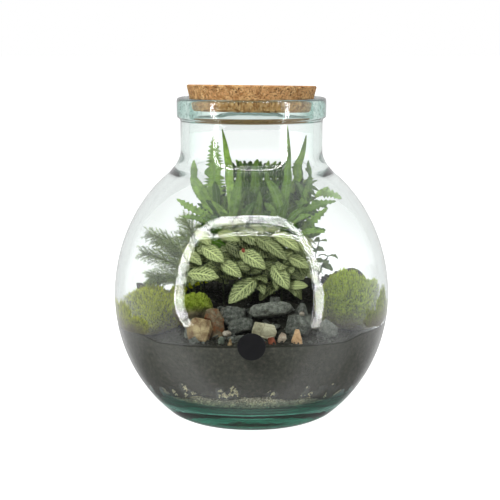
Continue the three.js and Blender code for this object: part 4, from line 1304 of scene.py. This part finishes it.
# Directions in degrees, seen from the jar, with azimuth 0 on the camera's side
ARCH = dict(
    left=-63, right=58, top=49, crown=11, steep=1.5, foot=-17, corner=22, left_toe=8, right_toe=2.4,
)
ARCH_STRIPS = [(0, 0.4, 0.45), (2.8, 0.4, 0.4), (5.4, 0.3, 0.15)]  # inset, and half widths of legs and top
ARCH_BAR = dict(left=-57, right=53, top=37, crown=10, steep=1.6, half=0.35)
ARCH_LIGHT = 60.0
# The dark opening fades to its sides below one elevation, and to its foot
OPENING = dict(
    grid=40, light=0.03, behind=1.04, sides=(0.55, 1), fade=(-35, -5), foot=(-88, -48),
)
WORLD = dict(diffuse=0.42, behind=1.15, beside=1.2, under=0.25)
# Each light's place, size across and power, and the point that all of them face
LIGHTS = dict(
    key=((-600, -1000, 1200), 600, 17), fill=((1000, -500, 900), 900, 5), top=((100, 200, 1500), 900, 9),
)
LIT_POINT = (0, 0, 140)
FLOOR_REACH = 20  # metres
FLOOR_GLOW = 0.93


def tent_point(azimuth, elevation, radius=TENT_RADIUS):
    """A point of the light tent by its direction from the jar."""
    a, e = math.radians(azimuth), math.radians(elevation)
    out = np.array([math.sin(a) * math.cos(e), -math.cos(a) * math.cos(e), math.sin(e)])
    return radius * out + np.array(TENT_MIDDLE, float)


def mirrored_paint(name, strength):
    """A light that shows only where a ray was mirrored once, so the glass stays clear to look through
    and its far edges stay bright. The card's own cover says how much of it shows."""
    paint = Paint(name)
    once = paint.math("COMPARE", paint.ray("Glossy Depth"), 1, 0.5)
    shown = once * paint.node("Attribute", "Fac", attribute_name="cover")
    light = paint.node("Emission", 0, {"Strength": strength})
    return paint.show(paint.blend(shown, paint.node("BsdfTransparent"), light))


def card(name, points, faces, material, cover=1.0):
    """A card of the tent that only the glass shows."""
    mesh = bpy.data.meshes.new(name)
    mesh.from_pydata([tuple(MM * c for c in p) for p in points], [], [tuple(map(int, f)) for f in faces])
    mesh.materials.append(material)
    covers = mesh.attributes.new("cover", "FLOAT", "POINT")
    covers.data.foreach_set("value", np.broadcast_to(cover, len(points)).astype(np.float32))
    obj = add_object(name, mesh)
    obj.visible_camera = obj.visible_diffuse = obj.visible_shadow = obj.visible_volume_scatter = False


def strip(name, points, material):
    """A card through pairs of points."""
    card(name, points, [(k, k + 1, k + 3, k + 2) for k in range(0, len(points) - 2, 2)], material)


def crown(rule, azimuth):
    """How far the arch or its bar rises above its ends."""
    return rule["crown"] * math.cos(math.radians(rule["steep"] * azimuth))


def arch_line(inset):
    """The line of the tent's opening, as azimuth, elevation and turn, drawn in by an inset."""
    left, right, top = ARCH["left"] + inset, ARCH["right"] - inset, ARCH["top"] - inset
    corner = ARCH["corner"] - inset
    rise = np.linspace(ARCH["foot"], top - corner, 24)[:-1]
    toe = np.maximum(0, rise / ARCH["foot"]) ** 2
    turns = np.radians(np.linspace(0, 90, 14))
    bend = [(corner * (1 - math.cos(t)), top - corner * (1 - math.sin(t)), t) for t in turns]
    line = [(left + ARCH["left_toe"] * share, e, 0) for share, e in zip(toe, rise)]
    line += [(left + a, e, t) for a, e, t in bend]
    line += [(azimuth, top, math.pi / 2) for azimuth in np.linspace(left + corner, right - corner, 30)[1:-1]]
    line += [(right - a, e, math.pi - t) for a, e, t in bend[::-1]]
    line += [(right - ARCH["right_toe"] * share, e, math.pi) for share, e in zip(toe[::-1], rise[::-1])]
    return [(a, e + crown(ARCH, a) * math.sin(t), t) for a, e, t in line]


def tent_arch(light):
    """The bright edge of the tent's opening: strips that form an arch, and a bar across it."""
    for inset, leg, top in ARCH_STRIPS:
        points = []
        for azimuth, elevation, turn in arch_line(inset):
            half = between((leg, top), math.sin(turn) ** 2)
            for way in (half, -half):
                points.append(tent_point(azimuth - way * math.cos(turn), elevation + way * math.sin(turn)))
        strip(f"tent_arch_{inset}", points, light)
    points = []
    for azimuth in np.linspace(ARCH_BAR["left"], ARCH_BAR["right"], 40):
        elevation = ARCH_BAR["top"] + crown(ARCH_BAR, azimuth)
        points += [tent_point(azimuth, elevation + way) for way in (-ARCH_BAR["half"], ARCH_BAR["half"])]
    strip("tent_bar", points, light)


def tent_opening():
    """The dark room in the tent's opening. Its lower part fades to its sides and its foot."""
    count = OPENING["grid"]
    level, turn = np.meshgrid(
        np.linspace(OPENING["foot"][0], ARCH["top"], count), np.linspace(ARCH["left"], ARCH["right"], count),
        indexing="ij")
    middle = 0.5 * (ARCH["left"] + ARCH["right"])
    aside = np.abs(turn - middle) / (0.5 * (ARCH["right"] - ARCH["left"]))
    softness = np.interp(level, OPENING["fade"], (1, 0))
    cover = 1 - softness * np.interp(aside, OPENING["sides"], (0, 1))
    cover = cover * np.interp(level, OPENING["foot"], (0, 1))
    radius = OPENING["behind"] * TENT_RADIUS
    points = [tent_point(a, e, radius) for a, e in zip(turn.ravel(), level.ravel())]
    dark = mirrored_paint("tent_dark", OPENING["light"])
    card("tent_opening", points, grid_faces(count, count, closed=False), dark, cover.ravel())


def area_light(name, place, size, power):
    data = bpy.data.lights.new(name, "AREA")
    data.shape = "DISK"
    data.size = size * MM
    data.energy = power
    obj = add_object(name, data)
    obj.location = [MM * c for c in place]
    aim = Vector([MM * c for c in LIT_POINT]) - obj.location
    obj.rotation_euler = aim.to_track_quat("-Z", "Y").to_euler()
    obj.visible_glossy = obj.visible_camera = obj.visible_transmission = False


def white_world():
    """White to look at, softer as a light, and uneven where the glass mirrors it."""
    world = bpy.data.worlds.new("studio")
    world.use_nodes = True
    sky = Nodes(world.node_tree)
    way = sky.node("TexCoord", "Generated")
    ahead, up = sky.part(way, 1), sky.part(way, 2)
    around = sky.levels(ahead, 0.55, 0.9, WORLD["beside"], WORLD["behind"])
    under = sky.most(sky.levels(ahead, -0.1, 0.3, 1, WORLD["under"]), sky.levels(up, -0.6, -0.3))
    mirrored = sky.levels(sky.ray("Glossy Depth"), 0.4, 0.6)
    strength = around * under * mirrored + (1.0 - mirrored)
    shown = world.node_tree.nodes["Background"].inputs
    sky.feed(shown["Color"], (1, 1, 1, 1))
    sky.feed(shown["Strength"], strength * sky.levels(sky.ray("Is Diffuse Ray"), 0, 1, 1, WORLD["diffuse"]))
    bpy.context.scene.world = world


def white_floor():
    """White to look at, and left out of what the glass mirrors."""
    paint = Paint("pale_floor", 0.9, 0)
    paint.done((0.5, 0.5, 0.5, 1))
    paint.feed(paint.inputs["Emission Color"], (1, 1, 1, 1))
    paint.feed(paint.inputs["Emission Strength"], (1.0 - paint.ray("Is Diffuse Ray")) * FLOOR_GLOW)
    mirrored = paint.math("GREATER_THAN", paint.ray("Glossy Depth"), 0.5)
    mesh = bpy.data.meshes.new("floor")
    r = FLOOR_REACH
    mesh.from_pydata([(-r, -r, 0), (r, -r, 0), (r, r, 0), (-r, r, 0)], [], [(0, 1, 2, 3)])
    mesh.materials.append(paint.show(paint.blend(mirrored, paint.shader, paint.node("BsdfTransparent"))))
    floor = add_object("floor", mesh)


def photo_camera():
    data = bpy.data.cameras.new("camera")
    data.lens = CAMERA_LENS
    data.sensor_width = 36
    data.shift_x = CAMERA_SHIFT
    data.clip_end = 50
    camera = add_object("camera", data)
    camera.location = [MM * c for c in CAMERA_PLACE]
    camera.rotation_euler = (math.radians(90 - CAMERA_TILT), 0, 0)
    bpy.context.scene.camera = camera


def studio():
    scene = bpy.context.scene
    scene.view_settings.view_transform = "Standard"
    scene.view_settings.look = "None"
    photo_camera()
    white_world()
    white_floor()
    for name, (place, size, power) in LIGHTS.items():
        area_light(name, place, size, power)
    tent_arch(mirrored_paint("tent_light", ARCH_LIGHT))
    tent_opening()
    cycles = scene.cycles
    cycles.use_denoising = True
    cycles.max_bounces = 14
    cycles.transmission_bounces = 12
    cycles.glossy_bounces = 10
    cycles.transparent_max_bounces = 24
    cycles.caustics_reflective = False
    cycles.caustics_refractive = False


studio()
glass_jar()
cork_stopper()
label_disc()
gravel_layer()
soil()
stones()
slate_chips()
moss()
dry_tufts()
bark_piece()
ribbon_fern()
leafy_plants()
asparagus_fern()
